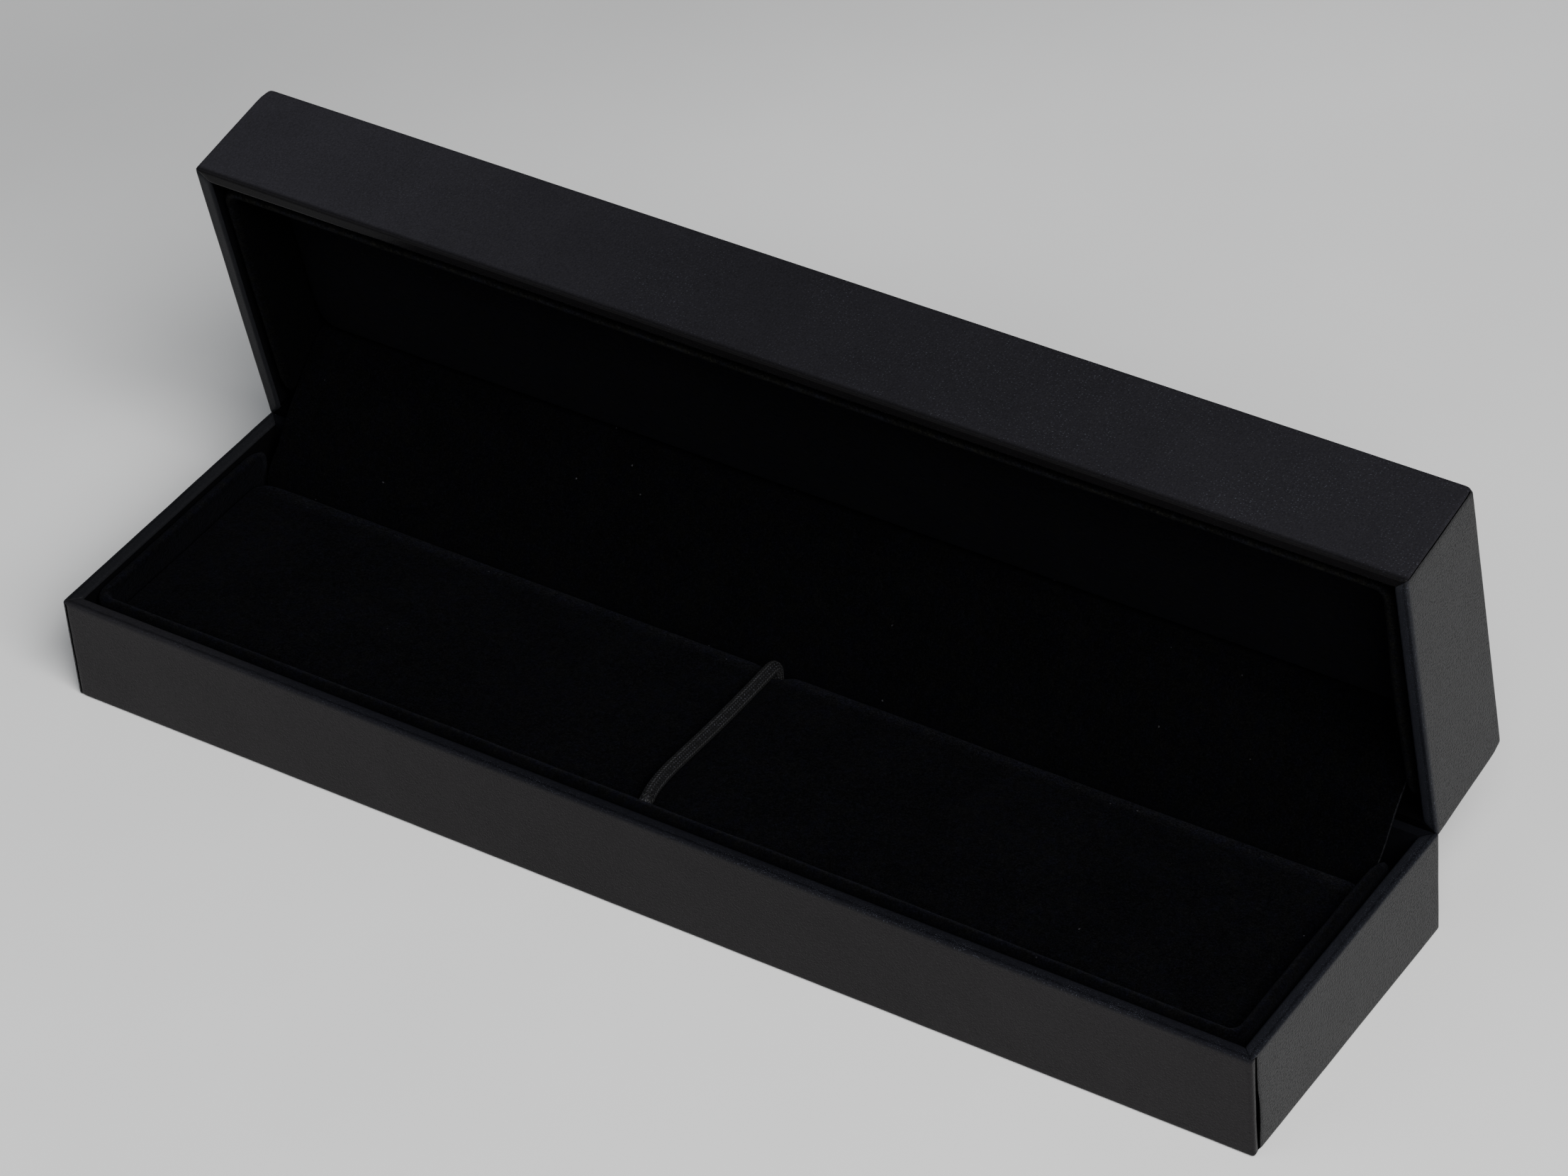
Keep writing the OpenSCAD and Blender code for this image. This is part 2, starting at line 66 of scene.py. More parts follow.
LINER_DROP = 0.7
BASE_LINER_BACK, LID_LINER_BACK = 17.5, 19.5
PAD_HALF, PAD_FRONT = LINER_HALF - LINER_T - 0.1, LINER_FRONT + LINER_T + 0.1
BASE_PAD_BACK, LID_PAD_BACK = 15.0, 13.0
BASE_PAD_Z, LID_PAD_Z = BASE_H - 3.5, LID_H - 8.7
VELVET_T, FOAM_T, CARD_T = 0.45, 4.2, 1.5
BASE_CARD_Z = BASE_PAD_Z - VELVET_T - FOAM_T - CARD_T
PAD_R = 4.0
CORD_X, CORD_R = -1.5, 1.0
# As drawn here only: the covers' thickness, the rounding of the rim's two edges and of the outer
# corners, how far a cover's hidden side is kept inside the box, and the beds' lowest points
COVER_T = SKIN * 0.9
RIM_IN_R, RIM_OUT_R, CORNER_R = 0.45, 0.38, 0.36
HIDDEN_INSET = 0.12
BASE_PAD_FOOT, LID_PAD_FOOT = BASE_CARD_Z - 0.4, 2.25
# Values of the third part of the attribute "way" where it isn't the inset of a point on the rim
INSIDE, AWAY = 9.0, -1.0


def lid_matrix():
    """Takes the lid's rim-up form, in mm, to its open place."""
    return (
        Matrix.Translation((0, HINGE_Y, HINGE_Z))
        @ Matrix.Rotation(-OPEN, 4, "X")
        @ Matrix.Translation((0, -HINGE_Y, LID_H + RIM_GAP / 2))
        @ Matrix.Diagonal((1, 1, -1, 1))
    )


PLACE = {"base": np.eye(4), "lid": np.array(lid_matrix())}


def smooth01(t):
    """0 to 1 with level ends."""
    t = np.clip(t, 0, 1)
    return t * t * (3 - 2 * t)


def wob(x, y=0.0, z=0.0, s=1.0, seed=0.0):
    """Smooth noise in -1..1 at a point, for small unevenness."""
    return noise.noise(Vector((x * s + seed * 17.3, y * s - seed * 9.1, z * s + seed * 3.7)))


# ---- Mesh helpers ----
def make_object(name, verts, faces, body, half, material, way):
    """A mesh from rim-up points in mm, placed with its half and riding on a body, if one is given.

    Its own points go in the attribute "mm", and its places along the sheet in "way"."""
    v = np.asarray(verts, float)
    m = PLACE[half]
    w = (v @ m[:3, :3].T + m[:3, 3]) * MM
    if np.linalg.det(m[:3, :3]) < 0:
        faces = [tuple(reversed(f)) for f in faces]
    mesh = bpy.data.meshes.new(name)
    mesh.from_pydata([tuple(p) for p in w], [], [tuple(f) for f in faces])
    mesh.validate()
    attr = mesh.attributes.new("mm", "FLOAT_VECTOR", "POINT")
    attr.data.foreach_set("vector", v.astype(np.float32).ravel())
    attr = mesh.attributes.new("way", "FLOAT_VECTOR", "POINT")
    attr.data.foreach_set("vector", np.asarray(way, np.float32).ravel())
    mesh.update()
    mesh.polygons.foreach_set("use_smooth", [True] * len(mesh.polygons))
    ob = bpy.data.objects.new(name, mesh)
    scene.collection.objects.link(ob)
    mesh.materials.append(material)
    if body:
        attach(ob, body)
    return ob


def grid_faces(rows, cols, close_u=False, close_v=False, base=0):
    """Four-sided faces over a grid of points, joined up across its ends where asked."""
    f = []
    for i in range(rows if close_v else rows - 1):
        for j in range(cols if close_u else cols - 1):
            a = base + i * cols + j
            b = base + i * cols + (j + 1) % cols
            c = base + ((i + 1) % rows) * cols + (j + 1) % cols
            d = base + ((i + 1) % rows) * cols + j
            f.append((a, b, c, d))
    return f


def grid_normals(p):
    """Unit normals of a grid of points."""
    du = np.gradient(p, axis=1)
    dv = np.gradient(p, axis=0)
    n = np.cross(du, dv)
    ln = np.linalg.norm(n, axis=2, keepdims=True)
    ln[ln < 1e-12] = 1
    return n / ln


def hold(p, h, inset=0.0):
    """Points brought back inside one half's box, which is h high and has rounded edges and corners."""
    middle = np.array([0, 0, h / 2])
    half = np.array([HALF_L, HALF_W, h / 2]) - inset
    q = np.clip(p - middle, -half, half)
    over = np.maximum(np.abs(q) - (half - CORNER_R), 0)
    ln = np.maximum(np.linalg.norm(over, axis=-1, keepdims=True), 1e-9)
    return q - np.sign(q) * over * np.maximum(1 - CORNER_R / ln, 0) + middle


def skin(p, thick, flip=False, h=None):
    """Closed thin solid: outer grid p (rows, cols, 3) and a copy moved in along its normals.

    With h, the solid is held inside the box of one half, which is h high."""
    n = grid_normals(p)
    if flip:
        n = -n
    rows, cols = p.shape[:2]
    inner = p - n * thick
    if h:
        p, inner = hold(p, h), hold(inner, h, HIDDEN_INSET)
    verts = np.concatenate([p.reshape(-1, 3), inner.reshape(-1, 3)])
    k = rows * cols
    out = grid_faces(rows, cols)
    inn = [tuple(reversed(f)) for f in grid_faces(rows, cols, base=k)]
    side = []
    for i in range(rows - 1):
        a, b = i * cols, (i + 1) * cols
        side.append((a, b, b + k, a + k))
        a, b = i * cols + cols - 1, (i + 1) * cols + cols - 1
        side.append((b, a, a + k, b + k))
    for j in range(cols - 1):
        a, b = j, j + 1
        side.append((b, a, a + k, b + k))
        a, b = (rows - 1) * cols + j, (rows - 1) * cols + j + 1
        side.append((a, b, b + k, a + k))
    faces = out + inn + side
    if flip:
        faces = [tuple(reversed(f)) for f in faces]
    return verts, faces


# ---- The outside of one half, as stacked outlines: each row has an inset and a height ----
MITRE = 0.02
PUFF_REACH = 0.28
OUT = {"front": (0, -1), "back": (0, 1), "left": (-1, 0), "right": (1, 0)}


def outline_point(side, q, inset, radius):
    """Point of the rounded outline at distance q along a side from its middle, round the corners."""
    a, b = HALF_L - inset, HALF_W - inset
    if side in ("left", "right"):
        a, b = b, a
    over = abs(q) - a
    s = math.copysign(1, q)
    x, y = (q, -b) if over <= 0 else (s * a, -b + over)
    r = max(radius - inset, 0.0)
    if r > 1e-6:
        cx = min(max(x, -a + r), a - r)
        cy = min(max(y, -b + r), b - r)
        dx, dy = x - cx, y - cy
        d = math.hypot(dx, dy)
        if d > 1e-9:
            x, y = cx + dx / d * r, cy + dy / d * r
    if side == "front":
        return x, y
    if side == "back":
        return -x, -y
    if side == "right":
        return -y, x
    return y, -x


def profile_rows(h, r_low):
    """Rows from the foot of the inner face, over the rim, down the outer face and round its low edge.

    Each is inset, height, part and distance along the profile from the rim's outer edge."""
    ri, ro = RIM_IN_R, RIM_OUT_R
    rows = [[WALL, z, "in"] for z in np.linspace(h - TURN_IN, h - ri - 0.05, 5)]
    for t in np.radians(np.linspace(0, 90, 7)):
        rows.append([WALL - ri + ri * math.cos(t), h - ri + ri * math.sin(t), "rim"])
    flat = np.concatenate([np.linspace(1.5, 1.05, 4), np.linspace(0.95, 0.47, 7)])
    rows += [[inset, h, "rim"] for inset in flat]
    for a in np.linspace(0, 90, 8):
        t = math.radians(a)
        rows.append([ro - ro * math.sin(t), h - ro + ro * math.cos(t), "rim" if a < 45 else "arc"])
    top = h - ro - 0.15
    for z in [*np.linspace(top, top - 1.2, 5), *np.linspace(top - 1.8, r_low + 0.2, 14)]:
        rows.append([0.0, z, "out"])
    rows += low_rows(r_low)
    pts = np.array([row[:2] for row in rows])
    step = np.concatenate([[0], np.cumsum(np.linalg.norm(np.diff(pts, axis=0), axis=1))])
    zero = next(i for i, row in enumerate(rows) if row[2] == "arc")
    for i, row in enumerate(rows):
        row.append(step[i] - step[zero])
    return rows


def low_rows(r):
    """Inset, height and part of the rows round the edge of the closed face."""
    return [[r - r * math.cos(t), r - r * math.sin(t), "low"] for t in np.radians(np.linspace(0, 90, 8))]


def along(a, edge_l, edge_r, step=2.0):
    """Distances along a side, fine near both ends."""
    fine = [0, 0.07, 0.16, 0.28, 0.4, 0.52, 0.64, 0.76, 0.88, 1.0, 1.15, 1.35, 1.7, 2.2, 3.0, 4.2, 6.0]
    left = [-(a + edge_l) + f for f in fine]
    right = [(a + edge_r) - f for f in reversed(fine)]
    n = max(2, int((right[0] - left[-1]) / step))
    mid = list(np.linspace(left[-1], right[0], n + 1)[1:-1])
    return left + mid + right


def side_strip(side, h, rows, radius, edge, seed, bulge=0.05, puff=0.1, groove=0.0, drop=0.0):
    """Points, and their distances along the sheet, for the leather on one side.

    edge(z, end) is how far past each corner it goes. Puff pulls the sheet in at its seams, bulge makes
    it uneven, groove is a crease along the rim, and drop keeps it below another sheet."""
    pts, way = [], []
    half0 = HALF_L if side in ("front", "back") else HALF_W
    cols = len(along(half0, 0.0, 0.0))
    nx, ny = OUT[side]
    for inset, z, part, v in rows:
        a = half0 - inset
        if part in ("in", "rim"):
            el = er = -MITRE
        else:
            el, er = edge(z, -1), edge(z, 1)
            if part == "arc":
                k = smooth01((h - z) / 0.6)
                el, er = el * k - MITRE * (1 - k), er * k - MITRE * (1 - k)
        q = np.array(along(a, el, er))
        if len(q) != cols:
            q = np.interp(np.linspace(0, 1, cols), np.linspace(0, 1, len(q)), q)
        rad = radius(z)
        row, wrow = [], []
        for x in q:
            px, py = outline_point(side, float(x), inset, rad)
            dz, pull = 0.0, 0.0
            if part in ("rim", "arc"):
                dz -= 0.05 * abs(wob(px, py, 0, 0.11, seed + 3))
                dz -= 0.025 * abs(wob(px, py, 0, 0.55, seed + 5))
                if groove:
                    middle = 0.62 + 0.13 * wob(px, py, 0, 0.07, seed + 6)
                    middle += 0.05 * wob(px, py, 0, 0.5, seed + 7)
                    deep = groove * (0.55 + 0.75 * abs(wob(px, py, 0, 0.09, seed + 8)))
                    dz -= deep * math.exp(-(((inset - middle) / 0.1) ** 2))
            dz += {"arc": -drop, "low": drop}.get(part, 0.0)
            if part in ("out", "low", "arc"):
                pull += bulge * abs(wob(px, py, z, 0.1, seed))
            e = min((a + er) - x, x + (a + el))
            if part != "in":
                p = puff * math.exp(-max(e, 0) / PUFF_REACH)
                if part == "rim":
                    dz -= p
                else:
                    pull += p
            if abs(x) > a and part != "rim":
                px, py = outline_point(side, float(x), inset + pull + drop, max(rad, pull + drop))
            else:
                px, py = px - nx * (pull + drop), py - ny * (pull + drop)
            row.append((px, py, z + dz))
            below_rim = min(1.0, max(0.0, h - z - RIM_OUT_R))
            code = {"rim": inset, "arc": inset, "in": INSIDE, "low": AWAY, "out": -below_rim}[part]
            wrow.append((x, v, code))
        pts.append(row)
        way.append(wrow)
    return np.array(pts), np.array(way)


def cap_strip(r, seed):
    """Grid for the closed face: rows across, columns along."""
    ex, ey = HALF_L - r, HALF_W - r
    ys = np.concatenate([
        np.linspace(-ey, -ey + 2, 6),
        np.linspace(-ey + 4, ey - 4, 12),
        np.linspace(ey - 2, ey, 6),
    ])
    xs = np.linspace(-ex, ex, 60)
    pts = np.array([[(x, y, 0.04 * abs(wob(x, y, 0, 0.05, seed))) for x in xs] for y in ys])
    way = pts.copy()
    way[:, :, 2] = AWAY
    return pts, way


def join_skins(parts, h=None):
    """Several (grid, way, thickness, flip) skins as one mesh, held in a half's box if h is given."""
    verts, faces, ways = [], [], []
    n = 0
    for grid, way, thick, flip in parts:
        v, f = skin(grid, thick, flip, h)
        verts.append(v)
        faces += [tuple(i + n for i in face) for face in f]
        w = way.reshape(-1, 3)
        ways += [w, w]
        n += len(v)
    return np.concatenate(verts), faces, np.concatenate(ways)


# ---- Materials ----
class Nodes:
    """Short way to write a node material."""

    def __init__(self, name):
        self.mat = bpy.data.materials.new(name)
        self.mat.use_nodes = True
        self.tree = self.mat.node_tree
        self.tree.nodes.clear()
        self.out = self.tree.nodes.new("ShaderNodeOutputMaterial")
        self.bsdf = self.tree.nodes.new("ShaderNodeBsdfPrincipled")
        self.tree.links.new(self.bsdf.outputs[0], self.out.inputs["Surface"])

    def put(self, socket, value):
        if isinstance(value, bpy.types.NodeSocket):
            self.tree.links.new(value, socket)
        elif value is not None:
            if isinstance(value, (tuple, list)) and len(value) == 3 and len(socket.default_value) == 4:
                value = (*value, 1.0)
            socket.default_value = value

    def node(self, kind, out=0, settings=None, **inputs):
        n = self.tree.nodes.new(kind)
        for k, v in (settings or {}).items():
            setattr(n, k, v)
        for k, v in inputs.items():
            self.put(n.inputs[k.replace("_", " ")], v)
        return n if out is None else n.outputs[out]

    def math(self, op, a, b=None, clamp=False):
        n = self.tree.nodes.new("ShaderNodeMath")
        n.operation, n.use_clamp = op, clamp
        self.put(n.inputs[0], a)
        self.put(n.inputs[1], b)
        return n.outputs[0]

    def add(self, a, b):
        return self.math("ADD", a, b)

    def mul(self, a, b):
        return self.math("MULTIPLY", a, b)

    def sub(self, a, b):
        return self.math("SUBTRACT", a, b)

    def vmath(self, op, a, b, out=0):
        n = self.tree.nodes.new("ShaderNodeVectorMath")
        n.operation = op
        self.put(n.inputs[0], a)
        self.put(n.inputs[1], b)
        return n.outputs[out]

    def attr(self, name):
        return self.node("ShaderNodeAttribute", 1, {"attribute_name": name})

    def obj_mm(self):
        tc = self.node("ShaderNodeTexCoord", 3)
        return self.vmath("MULTIPLY", tc, (1000.0, 1000.0, 1000.0))

    def noise(self, vec, scale, detail=3.0, rough=0.5, out=0, distort=0.0):
        return self.node("ShaderNodeTexNoise", out, None, Vector=vec, Scale=scale, Detail=detail,
                         Roughness=rough, Distortion=distort)

    def voronoi(self, vec, scale, out=0):
        return self.node("ShaderNodeTexVoronoi", out, {"feature": "F1"}, Vector=vec, Scale=scale)

    def cells(self, vec, rnd, scale=1.0):
        """A two-dimensional cell pattern; the whole node."""
        return self.node("ShaderNodeTexVoronoi", None, {"feature": "F1", "voronoi_dimensions": "2D"},
                         Vector=vec, Scale=scale, Randomness=rnd)

    def ramp(self, fac, stops):
        n = self.tree.nodes.new("ShaderNodeValToRGB")
        self.put(n.inputs[0], fac)
        e = n.color_ramp.elements
        while len(e) < len(stops):
            e.new(0.5)
        for i, (p, c) in enumerate(stops):
            e[i].position = p
            e[i].color = (*c, 1.0)
        return n.outputs[0]

    def span(self, value, a, b, c=0.0, d=1.0, smooth=False):
        n = self.tree.nodes.new("ShaderNodeMapRange")
        n.interpolation_type = "SMOOTHSTEP" if smooth else "LINEAR"
        n.clamp = True
        self.put(n.inputs[0], value)
        for i, v in enumerate((a, b, c, d)):
            n.inputs[i + 1].default_value = v
        return n.outputs[0]

    def mix(self, fac, a, b, mode="MIX"):
        n = self.tree.nodes.new("ShaderNodeMix")
        n.data_type = "RGBA"
        n.blend_type = mode
        self.put(n.inputs[0], fac)
        self.put(n.inputs[6], a)
        self.put(n.inputs[7], b)
        return n.outputs[2]

    def shade(self, col, amount):
        """A colour made lighter or darker by a factor."""
        return self.mix(1.0, col, self.grey(amount), "MULTIPLY")

    def grey(self, value):
        return self.node("ShaderNodeCombineColor", 0, None, Red=value, Green=value, Blue=value)

    def plane(self, x, y):
        return self.node("ShaderNodeCombineXYZ", 0, None, X=x, Y=y)

    def bump(self, height, strength, distance):
        n = self.tree.nodes.new("ShaderNodeBump")
        n.inputs["Strength"].default_value = strength
        n.inputs["Distance"].default_value = distance
        self.put(n.inputs["Height"], height)
        return n.outputs[0]

    def split(self, vec, i):
        n = self.tree.nodes.new("ShaderNodeSeparateXYZ")
        self.put(n.inputs[0], vec)
        return n.outputs[i]

    def set(self, **kw):
        for k, v in kw.items():
            self.put(self.bsdf.inputs[k.replace("_", " ")], v)
        return self.mat


def leatherette(name, base, rough, spec, grain, pits=0.0, dots=0.0, rim=None, left=1.0, flat=True):
    """Embossed coated paper: fine grain, small pits painted darker as shade, painted pale glints, and painted
    shade and painted sky reflection over the rim.

    base and rim are colours: rim is painted shade, and on bluish rims also a painted reflection of the sky.
    left is how much lighter the left end is, painted light, and the right end is painted a little lighter
    too. With flat, the piece has its places along the sheet in the attribute "way"."""
    m = Nodes(name)
    if flat:
        way = m.attr("way")
        u, v, code = m.split(way, 0), m.split(way, 1), m.split(way, 2)
        p = m.attr("mm")
    else:
        p = m.obj_mm()
        u, v = m.split(p, 0), m.add(m.split(p, 1), m.split(p, 2))
    u = m.add(u, m.mul(m.sub(m.noise(p, 0.6, 3.0, 0.6), 0.5), 0.7))
    v = m.add(v, m.mul(m.sub(m.noise(m.vmath("ADD", p, (31.0, 7.0, 3.0)), 0.6, 3.0, 0.6), 0.5), 0.7))
    q = m.plane(u, v)
    fine = m.noise(p, 3.2, 3.0, 0.65)
    weave = m.noise(m.vmath("MULTIPLY", q, (1.5, 1.0, 1.0)), 2.6, 2.0, 0.55)
    mottle = m.span(m.noise(p, 0.1, 4.0, 0.65), 0.3, 0.7, -0.07, 0.07)
    height = m.add(m.mul(fine, 0.55), m.mul(weave, 0.45))
    tone = m.add(m.span(height, 0.36, 0.64, 1.0 - 0.16 * grain, 1.0 + 0.16 * grain), mottle)
    if pits > 0:
        pit = pitting(m, p, q)
        if rim:
            pit = m.mul(pit, m.span(code, -0.3, 0.15, 1.0, 0.15))
        height = m.sub(height, m.mul(pit, 0.9 * pits))
        # Painted shade: the pits are painted darker.
        tone = m.mul(tone, m.sub(1.08, m.mul(pit, 0.45 * pits)))
    col = m.shade((*base, 1), tone)
    # Painted light: the left end painted lighter by the factor left, and the right end up to 0.12 lighter.
    if flat:
        x = m.split(p, 0)
        side = m.add(m.span(x, 0.0, -HALF_L, 1.0, left, smooth=True),
                     m.span(x, 15.0, HALF_L, 0.0, 0.12, smooth=True))
        col = m.shade(col, side)
    if dots > 0:
        # Painted highlight: glints stronger towards the right end, where the light falls.
        right = m.span(x, -HALF_L, HALF_L, 0.35, 1.1)
        col = m.mix(painted_band_glints(m, p, q, m.mul(right, dots)), col, (0.075, 0.08, 0.098, 1))
    r = m.span(height, 0.2, 0.7, rough + 0.12, rough - 0.06)
    if rim:
        # Over the rim, painted shade: a darker colour, on bluish rims tinted as a painted sky reflection and
        # weaker towards the left end.
        bluish = rim[2] > rim[0] * 1.1
        on = m.mul(m.span(code, -0.5, 0.12, 0.0, 1.0), m.span(code, 2.2, 2.6, 1.0, 0.0))
        trim = m.shade((*rim, 1), tone)
        if bluish:
            trim = m.shade(trim, side)
            strength = m.span(x, -88.0, -42.0, 0.45, 0.85, smooth=True)
            col = m.mix(m.mul(on, strength), col, trim)
            col = creased_rim(m, col, p, u, x, code, on)
        else:
            col = m.mix(m.mul(on, 0.85), col, trim)
        # Painted shade: near-black down the inner face inside the rim.
        col = m.mix(m.span(code, 2.6, 4.0, 0.0, 0.85), col, (0.001, 0.001, 0.0014, 1))
        r = m.add(r, m.mul(on, 0.04 if bluish else -0.15))
        height = m.mul(height, m.span(code, -0.3, 0.15, 1.0, 0.3))
    nb = m.bump(height, 1.0, 0.065 * MM * grain)
    return m.set(Base_Color=col, Roughness=r, Normal=nb, Specular_IOR_Level=spec)


def pitting(m, p, q):
    """Small round pits, fewer in some patches: 1 in a pit, 0 off it."""
    distance = m.cells(m.vmath("MULTIPLY", q, (2.7, 2.8, 1.0)), 0.9).outputs["Distance"]
    patch = m.span(m.noise(p, 1.3, 2.0, 0.5), 0.32, 0.55, 0.25, 1.0)
    return m.mul(m.span(distance, 0.05, 0.46, 1.0, 0.0, smooth=True), patch)


def painted_band_glints(m, p, q, amount):
    """Scattered painted pale glints, some patches fuller than others."""
    d = m.cells(m.vmath("MULTIPLY", q, (1.9, 3.8, 1.0)), 1.0)
    near = m.span(d.outputs["Distance"], 0.03, 0.27, 1.0, 0.0, smooth=True)
    lit = m.math("POWER", m.split(d.outputs["Color"], 0), 3.0)
    patch = m.span(m.noise(p, 0.07, 3.0, 0.6), 0.38, 0.62, 0.3, 1.0)
    return m.math("MULTIPLY", m.mul(near, lit), m.mul(patch, amount), clamp=True)


def creased_rim(m, col, p, u, x, code, on):
    """Painted shade darkening the crease along the rim, and painted pale glints that grow fewer towards the
    left end.
    """
    crease = m.add(0.62, m.mul(m.sub(m.noise(p, 0.3, 2.0, 0.5), 0.5), 0.22))
    off = m.math("ABSOLUTE", m.sub(code, crease))
    dark = m.mul(m.span(off, 0.0, 0.3, 1.0, 0.0, smooth=True), on)
    col = m.mix(m.mul(dark, 0.45), col, (0.0015, 0.0015, 0.002, 1))
    d = m.cells(m.plane(m.mul(u, 4.4), m.mul(code, 5.0)), 0.8)
    glint = m.mul(m.span(d.outputs["Distance"], 0.05, 0.27, 1.0, 0.0, smooth=True),
                  m.math("POWER", m.split(d.outputs["Color"], 0), 2.0))
    glint = m.mul(glint, m.span(code, 0.75, 1.5, 1.0, 0.3))
    patch = m.span(m.noise(p, 0.25, 3.0, 0.6), 0.4, 0.6, 0.35, 1.0)
    glint = m.mul(m.mul(glint, m.mul(on, patch)), m.span(x, -HALF_L, 60.0, 0.3, 0.75))
    return m.mix(glint, col, (0.13, 0.14, 0.18, 1))


def fibres(m, q, scale, long, wide, keep):
    """Short curved fibres lying at random, one to a cell: 1 on a fibre, 0 off it."""
    curl = 0.3
    cell = m.cells(q, 1.0, scale)
    ident, other = m.split(cell.outputs["Color"], 0), m.split(cell.outputs["Color"], 1)
    d = m.vmath("SUBTRACT", q, cell.outputs["Position"])
    dx, dy = m.split(d, 0), m.split(d, 1)
    turn = m.mul(ident, 6.283)
    c, s = m.math("COSINE", turn), m.math("SINE", turn)
    a = m.add(m.mul(dx, c), m.mul(dy, s))
    b = m.sub(m.sub(m.mul(dy, c), m.mul(dx, s)), m.mul(m.mul(a, a), curl))
    on = m.mul(m.span(m.math("ABSOLUTE", b), wide * 0.4, wide, 1.0, 0.0),
               m.span(m.math("ABSOLUTE", a), long * 0.6, long, 1.0, 0.0))
    return m.mul(on, m.span(other, 1.0 - keep, 1.0, 0.0, 1.0))


def velvet(name, base=(0.0017, 0.0017, 0.002), sheen=0.012, flat=True, lint=1.0, contrast=1.0, painted_edge_light_y=None,
           shaded=False):
    """Short dense pile: fibres lying at random, tufts, patches of brushing, sheen at grazing angles, and
    lint.

    With a y given for the bed's back edge, the pile is painted paler along it: a painted highlight where
    it catches the light over the edge. With shaded, the third part of "way" is a factor on the colour,
    the liner's painted light and shade; otherwise it marks a raw edge."""
    m = Nodes(name)
    if flat:
        p, q = m.attr("mm"), m.attr("way")
    else:
        p = q = m.obj_mm()
    tuft = m.noise(p, 2.2, 4.0, 0.75)
    clump = m.noise(p, 0.9, 3.0, 0.6, distort=0.8)
    brush = m.noise(p, 0.09, 3.0, 0.6, distort=1.0)
    fine = m.noise(m.vmath("ADD", p, (5.0, 1.0, 8.0)), 4.4, 2.0, 0.6)
    k = m.add(m.span(tuft, 0.38, 0.66, 0.3, 1.3),
              m.add(m.span(clump, 0.35, 0.65, -0.2, 0.25), m.span(brush, 0.35, 0.68, -0.2, 0.3)))
    hairs = m.add(fibres(m, q, 1.9, 0.3, 0.045, 0.6),
                  fibres(m, m.vmath("ADD", q, (3.3, 5.1, 0.0)), 3.0, 0.2, 0.04, 0.7))
    k = m.add(k, m.add(m.mul(hairs, 1.5), m.span(fine, 0.5, 0.72, -0.2, 1.8)))
    k = m.add(1.1 * (1 - contrast), m.mul(m.math("MAXIMUM", k, 0.06), contrast))
    # Painted light and shade of the liners, from the third part of "way".
    if shaded:
        k = m.mul(k, m.split(q, 2))
    # Painted highlight: the pile painted paler near the bed's back edge, where it catches the light.
    if painted_edge_light_y:
        back = m.math("ABSOLUTE", m.sub(m.split(p, 1), painted_edge_light_y))
        soft = m.add(back, m.mul(m.sub(clump, 0.5), 1.6))
        k = m.mul(k, m.span(soft, 0.2, 3.0, 2.7, 1.0, smooth=True))
    hue = m.span(m.noise(m.vmath("ADD", p, (9.0, 4.0, 2.0)), 0.7, 2.0, 0.5), 0.42, 0.62)
    red, green, blue = base
    tint = m.mix(hue, (red, green, blue * 0.88, 1), (red * 0.85, green * 0.88, blue * 1.2, 1))
    col = m.shade(tint, k)
    if lint > 0:
        shift = m.vmath("MULTIPLY", m.noise(p, 1.6, 2.0, 0.5, out=1), (0.5, 0.5, 0.5))
        warp = m.vmath("ADD", p, shift)
        speck = m.span(m.voronoi(warp, 0.3), 0.02, 0.05, 1.0, 0.0)
        some = m.math("GREATER_THAN", m.split(m.voronoi(warp, 0.3, out=1), 1), 0.7)
        col = m.mix(m.mul(m.mul(speck, some), 0.35 * lint), col, (0.1, 0.1, 0.11, 1))
    if flat:
        raw = m.mul(m.math("GREATER_THAN", m.split(q, 2), 5.0), m.span(tuft, 0.35, 0.65, 0.1, 1.0))
        col = m.mix(raw, col, (0.014, 0.014, 0.016, 1))
    nb = m.bump(m.add(m.mul(tuft, 0.8), m.mul(clump, 0.5)), 1.0, 0.3 * MM)
    return m.set(Base_Color=col, Roughness=1.0, Normal=nb, Specular_IOR_Level=0.02, Sheen_Weight=sheen,
                 Sheen_Roughness=0.5, Sheen_Tint=(0.6, 0.62, 0.8, 1))


# Dark, so that where the board shows in gaps it reads as their shade: painted shade.
def board_material():
    m = Nodes("grey_board")
    p = m.obj_mm()
    n = m.noise(p, 2.2, 5.0, 0.7)
    f = m.noise(m.vmath("MULTIPLY", p, (1.0, 1.0, 6.0)), 1.4, 4.0, 0.7)
    col = m.ramp(m.add(m.mul(n, 0.6), m.mul(f, 0.4)),
                 [(0.3, (0.006, 0.006, 0.0075)), (0.7, (0.012, 0.012, 0.014))])
    nb = m.bump(n, 0.6, 0.1 * MM)
    return m.set(Base_Color=col, Roughness=0.92, Normal=nb, Specular_IOR_Level=0.2)


def steel_material(name, base, rough):
    m = Nodes(name)
    p = m.obj_mm()
    n = m.noise(m.vmath("MULTIPLY", p, (1.0, 8.0, 8.0)), 1.5, 4.0, 0.6)
    col = m.ramp(n, [(0.3, tuple(c * 0.8 for c in base)), (0.7, base)])
    return m.set(Base_Color=col, Metallic=1.0, Roughness=m.span(n, 0.3, 0.7, rough, rough + 0.14),
                 Normal=m.bump(n, 0.3, 0.03 * MM))


def foam_material():
    m = Nodes("foam")
    v = m.voronoi(m.obj_mm(), 2.0)
    col = m.ramp(v, [(0.1, (0.03, 0.03, 0.033)), (0.6, (0.1, 0.1, 0.105))])
    return m.set(Base_Color=col, Roughness=0.95, Normal=m.bump(v, 0.8, 0.2 * MM))


